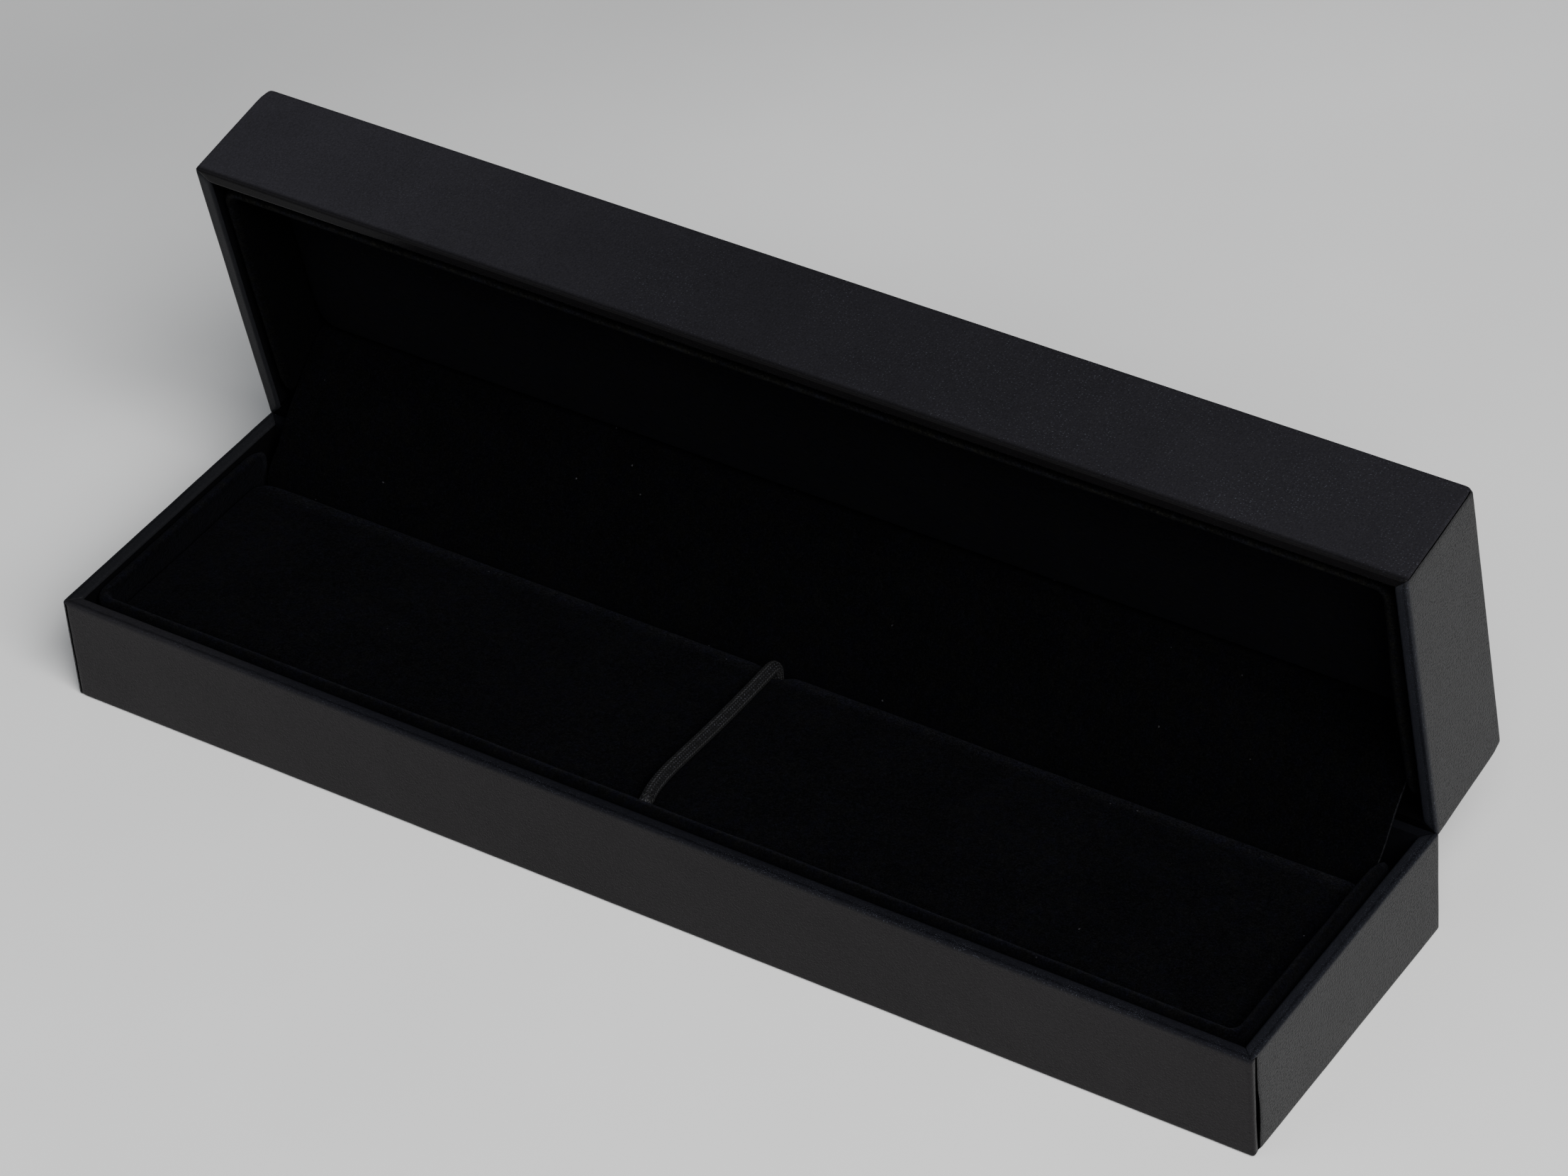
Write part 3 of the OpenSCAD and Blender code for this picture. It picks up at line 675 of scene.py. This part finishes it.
MAT = {
    # Painted light: front, end and band are one leatherette, their tones and tints set apart for how each
    # face is lit, the band's blue tint a painted sky reflection. The darker rim colours are painted shade.
    "front": leatherette("leatherette_front", (0.0122, 0.0114, 0.0121), rough=0.33, spec=0.05, grain=1.15,
                         pits=0.3, rim=(0.0046, 0.0049, 0.007), left=1.35),
    "end": leatherette("leatherette_end", (0.0106, 0.0106, 0.0112), rough=0.34, spec=0.08, grain=1.15,
                       pits=0.6, rim=(0.0062, 0.0067, 0.0092)),
    "band": leatherette("leatherette_band", (0.0134, 0.013, 0.0155), rough=0.3, spec=0.03, grain=1.05,
                        pits=0.3, dots=0.8, rim=(0.0026, 0.0024, 0.0023), left=1.6),
    # Painted shadow: near-black and without reflection, for the shade in the front corner seams.
    "seam": leatherette("painted_seam_shadow", (0.0005, 0.0005, 0.0006), rough=0.8, spec=0.0, grain=0.5),
    # Painted shade: the two edgings are darkened copies of the leatherette, the base's also tinted blue, for
    # the shade inside the back walls.
    "lid_edging": leatherette("leatherette_lid_edging_painted_shade", (0.0011, 0.0011, 0.0013), rough=0.5, spec=0.03,
                              grain=0.6, flat=False),
    "edging": leatherette("leatherette_edging_painted_shade", (0.0034, 0.0036, 0.0048), rough=0.36, spec=0.1, grain=0.8,
                          pits=0.3, flat=False),
    "plain": leatherette("leatherette_plain", (0.0105, 0.0105, 0.012), rough=0.34, spec=0.06, grain=0.8,
                         pits=0.4, flat=False),
    # Painted light and shade: the velvets are one cloth, their base tones set apart for how lit each part is,
    # the flap darkest and the liners lightest.
    "velvet": velvet("velvet_pile", (0.0011, 0.0011, 0.0013), contrast=0.8),
    "velvet_pad": velvet("velvet_pile_pad", (0.0013, 0.0013, 0.0016), contrast=1.15,
                         painted_edge_light_y=BASE_PAD_BACK - 0.9),
    "velvet_lid": velvet("velvet_pile_lid", (0.0014, 0.0014, 0.0016), lint=0.3, contrast=0.6),
    "velvet_liner": velvet("velvet_pile_liner", (0.0024, 0.0024, 0.0029), sheen=0.015, lint=0.4, contrast=0.7,
                           shaded=True),
    "velvet_liner_lid": velvet("velvet_pile_liner_lid", (0.002, 0.002, 0.0019), sheen=0.006, lint=0.0,
                               contrast=0.8, shaded=True),
    "velvet_cad": velvet("velvet_pile_plain", flat=False),
    "board": board_material(),
    "steel": steel_material("nickel_steel", (0.62, 0.61, 0.58), 0.28),
    "spring": steel_material("spring_steel", (0.36, 0.38, 0.42), 0.3),
    "foam": foam_material(),
}

for name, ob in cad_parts.items():
    if name.endswith("_board") or name.endswith("_card") or name == "pad_risers":
        mat = MAT["board"]
    elif "spring" in name:
        mat = MAT["spring"]
    elif "leaf" in name or name.endswith("_pin") or name == "elastic_crimp":
        mat = MAT["steel"]
    elif name.endswith("foam"):
        mat = MAT["foam"]
    elif "velvet" in name or name == "hinge_flap":
        mat = MAT["velvet_cad"]
    elif name == "lid_back_edging":
        mat = MAT["lid_edging"]
    elif name == "base_back_edging":
        mat = MAT["edging"]
    else:
        mat = MAT["plain"]
    ob.data.materials.clear()
    ob.data.materials.append(mat)
    for s in ob.material_slots:
        s.link = "DATA"

# ---- Leather covers of the two halves ----
# r is the rounding of the closed face's edges. A seam's place is how far the long cover goes past the
# front corner on that side; groove is the depth of the crease along the rim. At the back corners the
# end covers go round onto the back, and the long covers stop short of them.
ROUND_BACK, SHORT_OF_BACK, UNDERLAP = 0.35, 0.42, 1.3
HALVES = {
    "base": dict(h=BASE_H, r=0.5, seam={1: 0.95, -1: -0.66}, gap=0.26, groove=0.03, seed=1.0, face="front"),
    "lid": dict(h=LID_H, r=0.6, seam={1: -0.04, -1: 0.5}, gap=0.34, groove=0.0, seed=2.0, face="band"),
}


def hump(value, middle, spread):
    """A smooth hump: 1 at the middle, near 0 past twice the spread."""
    return math.exp(-(((value - middle) / spread) ** 2))


def corner_radius(half):
    """Radius of the upright corners by height; the lid's grow towards its closed face."""
    if half == "base":
        return lambda z: HALVES["base"]["r"]
    return lambda z: 0.36 + 0.75 * hump(z, 0.0, 1.3)


def front_edge(half, z, end):
    """How far the long cover goes round a front corner: past it onto the end, or short of it.

    end is 1 on the right and -1 on the left."""
    c = HALVES[half]
    seam = c["seam"][end]
    if end < 0:
        return seam + 0.05 * wob(z, 5, 0, 0.4, c["seed"] + 9)
    w = 0.1 * wob(z, 0, 0, 0.3, c["seed"] + 7) + 0.04 * wob(z, 0, 0, 1.3, c["seed"] + 8)
    if half == "lid":
        return seam + 0.4 * w
    return seam + w - 0.16 * hump(z, 6.5, 4.0)


def seam_gap(half, z, end):
    """Width of the front corner seams, wider low on the base's right corner."""
    gap = HALVES[half]["gap"]
    if end < 0:
        return gap
    if half == "base":
        return 0.5 + 0.6 * hump(z, 6.0, 4.2)
    return gap + 0.1 * hump(z, 9.0, 4.0) + 0.06 * wob(z, 3, 0, 0.7, 9.0)


def build_wrap(half):
    """The long cover: front with its rim, closed face, and back up to the leather fold."""
    c = HALVES[half]
    h, r, seed = c["h"], c["r"], c["seed"]
    radius = corner_radius(half)
    front, front_way = side_strip("front", h, profile_rows(h, r), radius,
                                  lambda z, end: front_edge(half, z, end), seed, groove=c["groove"])
    back_rows = [[0.0, z, "out", h - z] for z in np.linspace(h - RELIEF - SPINE_COVER, r + 0.25, 12)]
    back_rows += [[*row, h] for row in low_rows(r)]
    back, back_way = side_strip("back", h, back_rows, radius, lambda z, end: -SHORT_OF_BACK, seed + 20)
    face, face_way = cap_strip(r, seed + 30)
    sheets = ((front, front_way), (back, back_way), (face, face_way))
    v, f, w = join_skins([(grid, way, COVER_T, True) for grid, way in sheets], h)
    ob = make_object(half + "_wrap_cover", v, f, half, half, MAT[c["face"]], w)
    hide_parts(half + "_wrap")


def build_end(half, side):
    """An end's cover, and below it the turned-under edge that shows in the front corner seam, painted
    near-black as the seam's shadow.
    """
    c = HALVES[half]
    h, r = c["h"], c["r"]
    sign = 1 if side == "right" else -1
    front_end = -sign

    def edge(z, end):
        if end == front_end:
            return -front_edge(half, z, sign) - seam_gap(half, z, sign)
        return ROUND_BACK

    def under(z, end):
        return edge(z, end) + (UNDERLAP if end == front_end else 0.0)

    rows = profile_rows(h, r)
    radius = corner_radius(half)
    seed = c["seed"] + (11 if side == "left" else 13)
    grid, way = side_strip(side, h, rows, radius, edge, seed, puff=0.14, groove=c["groove"] * 0.4)
    v, f, w = join_skins([(grid, way, COVER_T, True)], h)
    ob = make_object(f"{half}_{side}_end_cover", v, f, half, half, MAT["end"], w)
    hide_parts(f"{half}_{side}_cover")

    low, low_way = side_strip(side, h, rows, radius, under, seed, bulge=0.0, puff=0.0, drop=0.1)
    outside = [i for i, row in enumerate(rows) if row[2] in ("arc", "out", "low")]
    columns = 18
    near_seam = slice(0, columns) if front_end < 0 else slice(-columns, None)
    v, f, w = join_skins([(low[outside][:, near_seam], low_way[outside][:, near_seam], 0.06, True)], h)
    make_object(f"{half}_{side}_end_underlap", v, f, half, half, MAT["seam"], w)


for half in ("base", "lid"):
    build_wrap(half)
    for side in ("left", "right"):
        build_end(half, side)


# ---- Velvet liners: a U-shaped strip with a round top edge ----
def u_path(back, step=1.2):
    """Points and inward normals along the middle of the U, from the left leg round to the right leg."""
    t = LINER_T / 2
    hx, fy, r = LINER_HALF - t, LINER_FRONT + t, LINER_R - t
    leg = np.linspace(back, fy + r, int((back - fy - r) / step) + 2)
    front = np.linspace(-hx + r, hx - r, int(2 * (hx - r) / step) + 2)

    def corner(cx, start):
        turn = np.radians(np.linspace(start, start + 90, 12))
        return [(cx + r * math.cos(a), fy + r + r * math.sin(a), -math.cos(a), -math.sin(a)) for a in turn]

    return ([(-hx, y, 1.0, 0.0) for y in leg[:-1]] + corner(-hx + r, 180)
            + [(x, fy, 0.0, 1.0) for x in front[1:-1]] + corner(hx - r, 270)
            + [(hx, y, -1.0, 0.0) for y in leg[::-1][1:]])


def liner_shade(half, turn, ny):
    """Painted light and shade of the pile round the section: darker on the inner face, lighter over the top,
    and a painted highlight along the top edge, strongest along the front.
    """
    pale, at = (1.3, 112) if half == "base" else (2.0, 82)
    inner = 0.3 if turn > 165 else 0.5
    return inner + 0.25 * math.sin(math.radians(turn)) + pale * hump(turn, at, 22) * (0.4 + 0.6 * abs(ny))


def build_liner(half, h, back, bow_front, bow_right, seed):
    """Swept U; the bows are how far its front and its right leg lean in at the top."""
    top, t, step = h - LINER_DROP, LINER_T / 2, 1.2
    path = u_path(back, step)
    foot = np.linspace(FLOOR_Z + 0.02, top - t - 0.6, 7)
    section = [(-t, z, 0) for z in foot]
    for a in np.linspace(0, math.pi, 15):
        section.append((-t * math.cos(a), top - t + t * math.sin(a), math.degrees(a)))
    section += [(t, z, 180) for z in foot[::-1]]
    shift = SHIFT if half == "base" else 0.0
    grid, ways = [], []
    dist = 0.0
    for i, (x, y, nx, ny) in enumerate(path):
        if i:
            dist += math.hypot(x - path[i - 1][0], y - path[i - 1][1])
        bow = 0.0
        if abs(ny) > 0.99:
            bow = bow_front * max(0.0, 1 - (x / 86.0) ** 2) ** 0.8
        elif nx < -0.9:
            bow = bow_right * hump(y, 0.0, 12.0)
        near_end = min(i, len(path) - 1 - i)
        taper = 1.0 - 0.25 * math.exp(-near_end / 1.2)
        dive = 0.9 * max(0.0, 1 - near_end * step / 3.5) ** 2
        row, wrow = [], []
        for o, z, turn in section:
            lift = (z - FLOOR_Z) / (top - FLOOR_Z)
            d = o * taper * (1 + 0.06 * wob(dist, z, 0, 0.25, seed))
            d += (bow + 0.12 * wob(dist, 0, 0, 0.06, seed + 1)) * lift
            dz = (0.1 * wob(dist, 0, 0, 0.12, seed + 2) - 0.1 - dive) * lift
            dz += 0.05 * wob(dist, o * 2, z, 0.9, seed + 4)
            row.append((x + nx * d + shift, y + ny * d, z + dz))
            wrow.append((dist, z + o, liner_shade(half, turn, ny)))
        grid.append(row)
        ways.append(wrow)
    p = np.array(grid)
    rows, cols = p.shape[:2]
    faces = grid_faces(rows, cols, close_u=True)
    faces.append(tuple(range(cols - 1, -1, -1)))
    faces.append(tuple((rows - 1) * cols + j for j in range(cols)))
    pile = MAT["velvet_liner" if half == "base" else "velvet_liner_lid"]
    ob = make_object(half + "_liner", p.reshape(-1, 3), faces, half, half, pile,
                     np.array(ways).reshape(-1, 3))
    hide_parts(half + "_liner_velvet", half + "_liner_card")


build_liner("base", BASE_H, BASE_LINER_BACK, 0.35, 0.1, 41.0)
build_liner("lid", LID_H, LID_LINER_BACK, 0.15, 0.45, 43.0)


# ---- Padded beds: a rounded slab swelled by cloth simulation, then pressed by the elastic ----
def slab(name, half_x, y0, y1, z0, z1, radii, shift):
    """Solid slab, given in mm, with rounded plan corners: radii at the front, back left and back right."""
    r_front, r_left, r_right = radii
    outline = []
    for cx, cy, r, start in (
        (half_x - r_right, y1 - r_right, r_right, 0),
        (-half_x + r_left, y1 - r_left, r_left, 90),
        (-half_x + r_front, y0 + r_front, r_front, 180),
        (half_x - r_front, y0 + r_front, r_front, 270),
    ):
        for a in np.radians(np.linspace(start, start + 90, 7)):
            outline.append((cx + r * math.cos(a) + shift, cy + r * math.sin(a)))
    n = len(outline)
    verts = [(x * MM, y * MM, z * MM) for z in (z0, z1) for x, y in outline]
    faces = [tuple(range(n - 1, -1, -1)), tuple(range(n, 2 * n))]
    faces += [(i, (i + 1) % n, n + (i + 1) % n, n + i) for i in range(n)]
    mesh = bpy.data.meshes.new(name)
    mesh.from_pydata(verts, [], faces)
    ob = bpy.data.objects.new(name, mesh)
    scene.collection.objects.link(ob)
    return ob


def points_of(ob):
    """The mesh's points as an array of rows."""
    co = np.empty(len(ob.data.vertices) * 3)
    ob.data.vertices.foreach_get("co", co)
    return co.reshape(-1, 3)


def apply_all(ob):
    """Makes the object's mesh what its modifiers show, and takes them off."""
    deps = bpy.context.evaluated_depsgraph_get()
    mesh = bpy.data.meshes.new_from_object(ob.evaluated_get(deps))
    ob.modifiers.clear()
    ob.data = mesh


def swell(ob, cap_mm, voxel_mm):
    """Remeshes and lets cloth pressure round the slab, moving no point more than the cap."""
    rem = ob.modifiers.new("remesh", "REMESH")
    rem.mode = "VOXEL"
    rem.voxel_size = voxel_mm * MM
    apply_all(ob)
    rest = points_of(ob)
    group = ob.vertex_groups.new(name="pin")
    foot = rest[:, 2] < rest[:, 2].min() + 0.6 * voxel_mm * MM
    group.add([int(i) for i in np.nonzero(foot)[0]], 1.0, "REPLACE")
    cloth = ob.modifiers.new("cloth", "CLOTH")
    st = cloth.settings
    st.quality = 5
    st.mass = 0.2
    st.tension_stiffness = 25
    st.compression_stiffness = 25
    st.bending_stiffness = 6
    st.use_pressure = True
    st.uniform_pressure_force = 4.0
    st.effector_weights.gravity = 0
    st.vertex_group_mass = "pin"
    cloth.collision_settings.use_collision = False
    frames = 20
    cloth.point_cache.frame_start, cloth.point_cache.frame_end = 1, frames
    for f in range(1, frames + 1):
        scene.frame_set(f)
    apply_all(ob)
    scene.frame_set(1)
    move = points_of(ob) - rest
    ln = np.linalg.norm(move, axis=1, keepdims=True)
    ln[ln < 1e-12] = 1
    swelled = rest + move / ln * np.minimum(ln, cap_mm * MM)
    ob.data.vertices.foreach_set("co", swelled.ravel())
    ob.data.update()


def press_elastic(co, back):
    """How far the elastic presses each of the base bed's points down, and in along y at both edges."""
    x, y = co[:, 0] - CORD_X, co[:, 1]
    edges = smooth01((y - (back - 2.6)) / 2.2) + smooth01((PAD_FRONT + 2.6 - y) / 2.2)
    down = 0.42 * np.exp(-((x / 1.5) ** 2)) + 0.5 * np.exp(-((x / 2.2) ** 2)) * edges
    near = np.exp(-((x / 1.6) ** 2))
    near[near <= 0.02] = 0
    inward = smooth01((PAD_FRONT + 3 - y) / 3) - smooth01((y - (back - 3)) / 3)
    return down, near * 1.6 * inward


def build_pad(half, back, foot_z, face_z, seed):
    """One bed: swelled, made finer, made uneven and, in the base, pressed by the elastic."""
    shift = SHIFT if half == "base" else 0.0
    ob = slab(half + "_pad", PAD_HALF - 0.3, PAD_FRONT + 0.3, back - 0.05, foot_z - 0.2, face_z - 0.3,
              (1.0, PAD_R, PAD_R * 0.4), shift)
    swell(ob, 0.35, 1.0)
    sub = ob.modifiers.new("sub", "SUBSURF")
    sub.levels = sub.render_levels = 1
    apply_all(ob)
    co = points_of(ob) / MM
    uneven = np.array([0.09 * wob(x, y, 0, 0.06, seed) + 0.04 * wob(x, y, 0, 0.3, seed + 1)
                       + 0.02 * wob(x, y, 0, 1.6, seed + 2) for x, y in co[:, :2]])
    k = smooth01((co[:, 2] - foot_z) / (co[:, 2].max() - foot_z))
    if half == "base":
        down, inward = press_elastic(co, back)
        uneven -= down
        co[:, 1] += inward
    co[:, 2] += k * uneven
    co[:, 2] += face_z - np.percentile(co[:, 2], 99.5) - 0.02
    faces = [tuple(p.vertices) for p in ob.data.polygons]
    bpy.data.objects.remove(ob)
    pile = MAT["velvet_pad" if half == "base" else "velvet_lid"]
    out = make_object(half + "_padded_bed", co, faces, half, half, pile,
                      co * np.array([1.0, 1.0, 0.0]))
    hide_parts(half + "_pad_velvet", half + "_pad_foam", half + "_pad_card")


build_pad("base", BASE_PAD_BACK, BASE_PAD_FOOT, BASE_PAD_Z, 51.0)
build_pad("lid", LID_PAD_BACK, LID_PAD_FOOT, LID_PAD_Z, 53.0)


# ---- Velvet flap and leather fold at the hinge, shaped for the open lid ----
def lid_yz(y, z):
    """Place, in the open case, of a point given in the lid's rim-up form."""
    p = PLACE["lid"] @ np.array([0, y, z, 1.0])
    return float(p[1]), float(p[2])


def lengths(line):
    """Distance of each point along a line from its start."""
    return np.concatenate([[0], np.cumsum(np.linalg.norm(np.diff(line, axis=0), axis=1))])


def smooth_line(points, n):
    """Smooth line through (y, z) points, evenly resampled."""
    p = np.array(points, float)
    t = lengths(p)
    m = np.gradient(p, t, axis=0)
    out = []
    for s in np.linspace(0, t[-1], n * 4):
        i = min(np.searchsorted(t, s, side="right") - 1, len(p) - 2)
        h = t[i + 1] - t[i]
        u = (s - t[i]) / h
        out.append((2 * u**3 - 3 * u**2 + 1) * p[i] + (u**3 - 2 * u**2 + u) * h * m[i]
                   + (-2 * u**3 + 3 * u**2) * p[i + 1] + (u**3 - u**2) * h * m[i + 1])
    out = np.array(out)
    d = lengths(out)
    at = np.linspace(0, d[-1], n)
    return np.stack([np.interp(at, d, out[:, 0]), np.interp(at, d, out[:, 1])], axis=1)


def thick_sheet(name, line, xs, thick, bump, mat, raw=False):
    """Closed sheet from a (y, z) line swept along x, with small unevenness, thick to its back side.

    With raw, its right-hand edge is marked as cut. Gives the object and the line's length."""
    grid = np.zeros((len(line), len(xs), 3))
    ways = np.zeros_like(grid)
    d = lengths(line)
    tan = np.gradient(line, axis=0)
    tan /= np.linalg.norm(tan, axis=1, keepdims=True)
    for i, (y, z) in enumerate(line):
        ny, nz = -tan[i][1], tan[i][0]
        for j, x in enumerate(xs):
            b = bump(x, d[i], d[-1])
            grid[i, j] = (x, y + ny * b, z + nz * b)
            ways[i, j] = (x, d[i], INSIDE if raw and j == len(xs) - 1 else AWAY)
    v, f, w = join_skins([(grid, ways, thick, False)])
    return make_object(name, v, f, None, "base", mat, w), d[-1]


def flap_bump(x, s, total):
    k = math.sin(math.pi * min(max(s / total, 0), 1))
    return k * (0.22 * wob(x, s, 0, 0.045, 61) + 0.07 * wob(x, s, 0, 0.2, 62))


def build_flap():
    off = 0.62  # from each bed's back edge to the flap's middle
    line = smooth_line([
        (BASE_PAD_BACK + off, 8.0), (BASE_PAD_BACK + off, 10.6), (BASE_PAD_BACK + 0.8, 12.6),
        (17.1, 14.4), (18.8, 15.9), (20.4, 17.8), (22.1, 20.0), (24.6, 22.5), (27.7, 25.3),
        lid_yz(LID_PAD_BACK + 0.95, LID_PAD_Z - 0.25), lid_yz(LID_PAD_BACK + off, LID_PAD_Z - 1.8),
        lid_yz(LID_PAD_BACK + off, LID_PAD_Z - 4.5),
    ], 44)
    xs = np.concatenate([[-90.0, -89.9, -89.7], np.linspace(-89.2, 89.1, 120), [89.5, 89.65, 89.7]])
    flap, length = thick_sheet("velvet_flap", line, xs, 0.6, flap_bump, MAT["velvet"], raw=True)
    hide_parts("hinge_flap")
    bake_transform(flap)


def hinge_at(r, deg):
    """Point at a distance and angle from the hinge's axis."""
    return HINGE_Y + r * math.cos(math.radians(deg)), HINGE_Z + r * math.sin(math.radians(deg))


def build_fold():
    mid = HALF_W - 0.03
    line = smooth_line([
        (mid, BASE_H - RELIEF - SPINE_COVER + 0.03), (mid, HINGE_Z - RELIEF - 0.25), hinge_at(1.12, -52),
        hinge_at(0.86, -40.5), hinge_at(1.12, -29),
        lid_yz(mid, LID_H - RELIEF - 0.15), lid_yz(mid, LID_H - RELIEF - SPINE_COVER + 0.03),
    ], 34)
    xs = np.concatenate([[-94.4, -94.3, -94.1], np.linspace(-93.6, 93.6, 90), [94.1, 94.3, 94.4]])
    fold, _ = thick_sheet("leather_fold", line, xs, 0.22, lambda x, s, total: 0.015 * wob(x, s, 0, 0.3, 71),
                          MAT["plain"])
    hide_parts("hinge_spine")
    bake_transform(fold)


build_flap()
build_fold()


# ---- Elastic keeper: round knitted cord over the bed and down into its notches ----
BEND_REACH = 2.3  # from the bed's edge to where the cord starts to turn down


def elastic_material():
    """Knitted loops in columns round the cord, leaning one way and the other in turn."""
    m = Nodes("knitted_elastic")
    way = m.attr("way")
    columns = m.mul(m.split(way, 0), 14.0)
    column = m.math("FLOOR", columns)
    place = m.sub(m.sub(columns, column), 0.5)
    side = m.sub(m.mul(m.math("MODULO", column, 2.0), 2.0), 1.0)
    row = m.add(m.mul(m.split(way, 1), 2.35), m.mul(m.mul(side, place), 0.75))
    off = m.math("ABSOLUTE", m.sub(m.math("FRACT", row), 0.5))
    loop = m.mul(m.span(off, 0.05, 0.4, 1.0, 0.0, smooth=True),
                 m.span(m.math("ABSOLUTE", place), 0.15, 0.5, 1.0, 0.0, smooth=True))
    shine = m.mul(loop, m.span(m.noise(m.attr("mm"), 1.7, 3.0, 0.6), 0.35, 0.7, 0.35, 1.3))
    col = m.ramp(shine, [(0.0, (0.001, 0.001, 0.0015)), (0.5, (0.0026, 0.0026, 0.0036)),
                         (1.0, (0.034, 0.035, 0.043))])
    nb = m.bump(loop, 1.0, 0.12 * MM)
    return m.set(Base_Color=col, Roughness=0.6, Normal=nb, Specular_IOR_Level=0.25, Sheen_Weight=0.02,
                 Sheen_Roughness=0.4)


def slack_at(y):
    """Slack in the elastic near the front, from 0 to 1."""
    t = max(0.0, (y - PAD_FRONT - BEND_REACH) / 5.5)
    return t * math.exp(1 - t)


def elastic_line():
    """Closed (y, z) line over the bed, down its back notch, under its card and up the front notch."""
    r = 1.3
    z_top = BASE_PAD_Z + CORD_R - 0.08
    z_low = BASE_CARD_Z - VELVET_T - 0.3 - CORD_R - 0.05
    y0, y1 = PAD_FRONT + BEND_REACH, BASE_PAD_BACK - BEND_REACH

    def arc(cy, cz, a0, a1):
        return [(cy + r * math.cos(a), cz + r * math.sin(a)) for a in np.radians(np.linspace(a0, a1, 9))]

    line = []
    for y in np.linspace(y0, y1, 60):
        t = (y - y0) / (y1 - y0)
        line.append((y, z_top - 0.06 * math.sin(math.pi * t) ** 2 + 0.45 * slack_at(y)))
    line += arc(y1, z_top - r, 90, 0)
    line += [(y1 + r, z) for z in np.linspace(z_top - r, z_low + r, 8)[1:-1]]
    line += arc(y1, z_low + r, 0, -90)
    line += [(y, z_low) for y in np.linspace(y1, y0, 16)[1:-1]]
    line += arc(y0, z_low + r, -90, -180)
    line += [(y0 - r, z) for z in np.linspace(z_low + r, z_top - r, 8)[1:-1]]
    line += arc(y0, z_top - r, 180, 92)
    return np.array(line)


def build_elastic():
    p = elastic_line()
    n, ring = len(p), 28
    tan = np.roll(p, -1, axis=0) - np.roll(p, 1, axis=0)
    tan /= np.linalg.norm(tan, axis=1, keepdims=True)
    dist = lengths(p)
    verts, ways = [], []
    for i in range(n):
        ny, nz = -tan[i][1], tan[i][0]
        x0 = CORD_X + 0.1 * math.sin(dist[i] * 0.09)
        if p[i][1] > BASE_CARD_Z:
            x0 -= 0.35 * slack_at(p[i][0])
        for j in range(ring):
            a = 2 * math.pi * j / ring
            rr = CORD_R * (0.97 + 0.02 * wob(dist[i], j, 0, 0.5, 81))
            c, s = math.cos(a) * rr, math.sin(a) * rr
            verts.append((x0 + c, p[i][0] + ny * s, p[i][1] + nz * s))
            ways.append((j / ring, dist[i], 0.0))
    ob = make_object("elastic_loop", verts, grid_faces(n, ring, close_u=True, close_v=True), "base", "base",
                     elastic_material(), ways)
    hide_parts("elastic_cord")


build_elastic()

# ---- Camera, light and floor ----
cam_data = bpy.data.cameras.new("camera")
cam = bpy.data.objects.new("camera", cam_data)
scene.collection.objects.link(cam)
cam_data.lens = 140.8
cam_data.sensor_width = 36.0
cam_data.sensor_fit = "HORIZONTAL"
cam_data.clip_start = 0.01
right = Vector((0.83454, 0.54634, -0.07111)).normalized()
view = Vector((-0.46145, 0.62261, -0.63200)).normalized()
up = right.cross(view).normalized()
rot = Matrix((right, up, -view)).transposed()
cam.matrix_world = Matrix.Translation((0.38122, -0.49892, 0.54950)) @ rot.to_4x4()
scene.camera = cam


def floor_material():
    """Pale floor, a little darker in patches, and painted darker towards the far side as shade."""
    m = Nodes("pale_floor")
    p = m.obj_mm()
    distance = m.vmath("DOT_PRODUCT", p, (-0.75, 0.66, 0.0), out=1)
    # Painted shade: the floor darker towards the far side, away from the key light.
    far = m.span(distance, 125.0, 215.0, 0.0, 0.22, smooth=True)
    tone = m.sub(m.span(m.noise(p, 0.02, 3.0, 0.5), 0.3, 0.7, 0.9, 0.94), far)
    return m.set(Base_Color=m.grey(tone), Roughness=0.9, Specular_IOR_Level=0.2)


mesh = bpy.data.meshes.new("floor")
side = 1.5
mesh.from_pydata([(-side, -side, 0), (side, -side, 0), (side, side, 0), (-side, side, 0)], [], [(0, 1, 2, 3)])
floor = bpy.data.objects.new("floor", mesh)
mesh.materials.append(floor_material())
scene.collection.objects.link(floor)


def area(name, loc, target, size, power, color):
    """A square area light aimed at a point."""
    d = bpy.data.lights.new(name, "AREA")
    d.energy, d.size, d.color = power, size, color
    d.shape = "SQUARE"
    o = bpy.data.objects.new(name, d)
    o.location = loc
    o.rotation_euler = (Vector(target) - Vector(loc)).to_track_quat("-Z", "Y").to_euler()
    scene.collection.objects.link(o)


area("key", (0.66, -0.42, 0.78), (0.03, -0.06, 0.0), 0.7, 17.5, (1.0, 0.995, 0.985))
area("fill", (-0.6, -0.75, 0.7), (-0.05, 0, 0), 1.0, 3.0, (0.96, 0.98, 1.0))
world = bpy.data.worlds.new("world")
world.use_nodes = True
sky = world.node_tree.nodes["Background"]
sky.inputs["Color"].default_value = (0.82, 0.9, 1.0, 1)
sky.inputs["Strength"].default_value = 0.09
scene.world = world
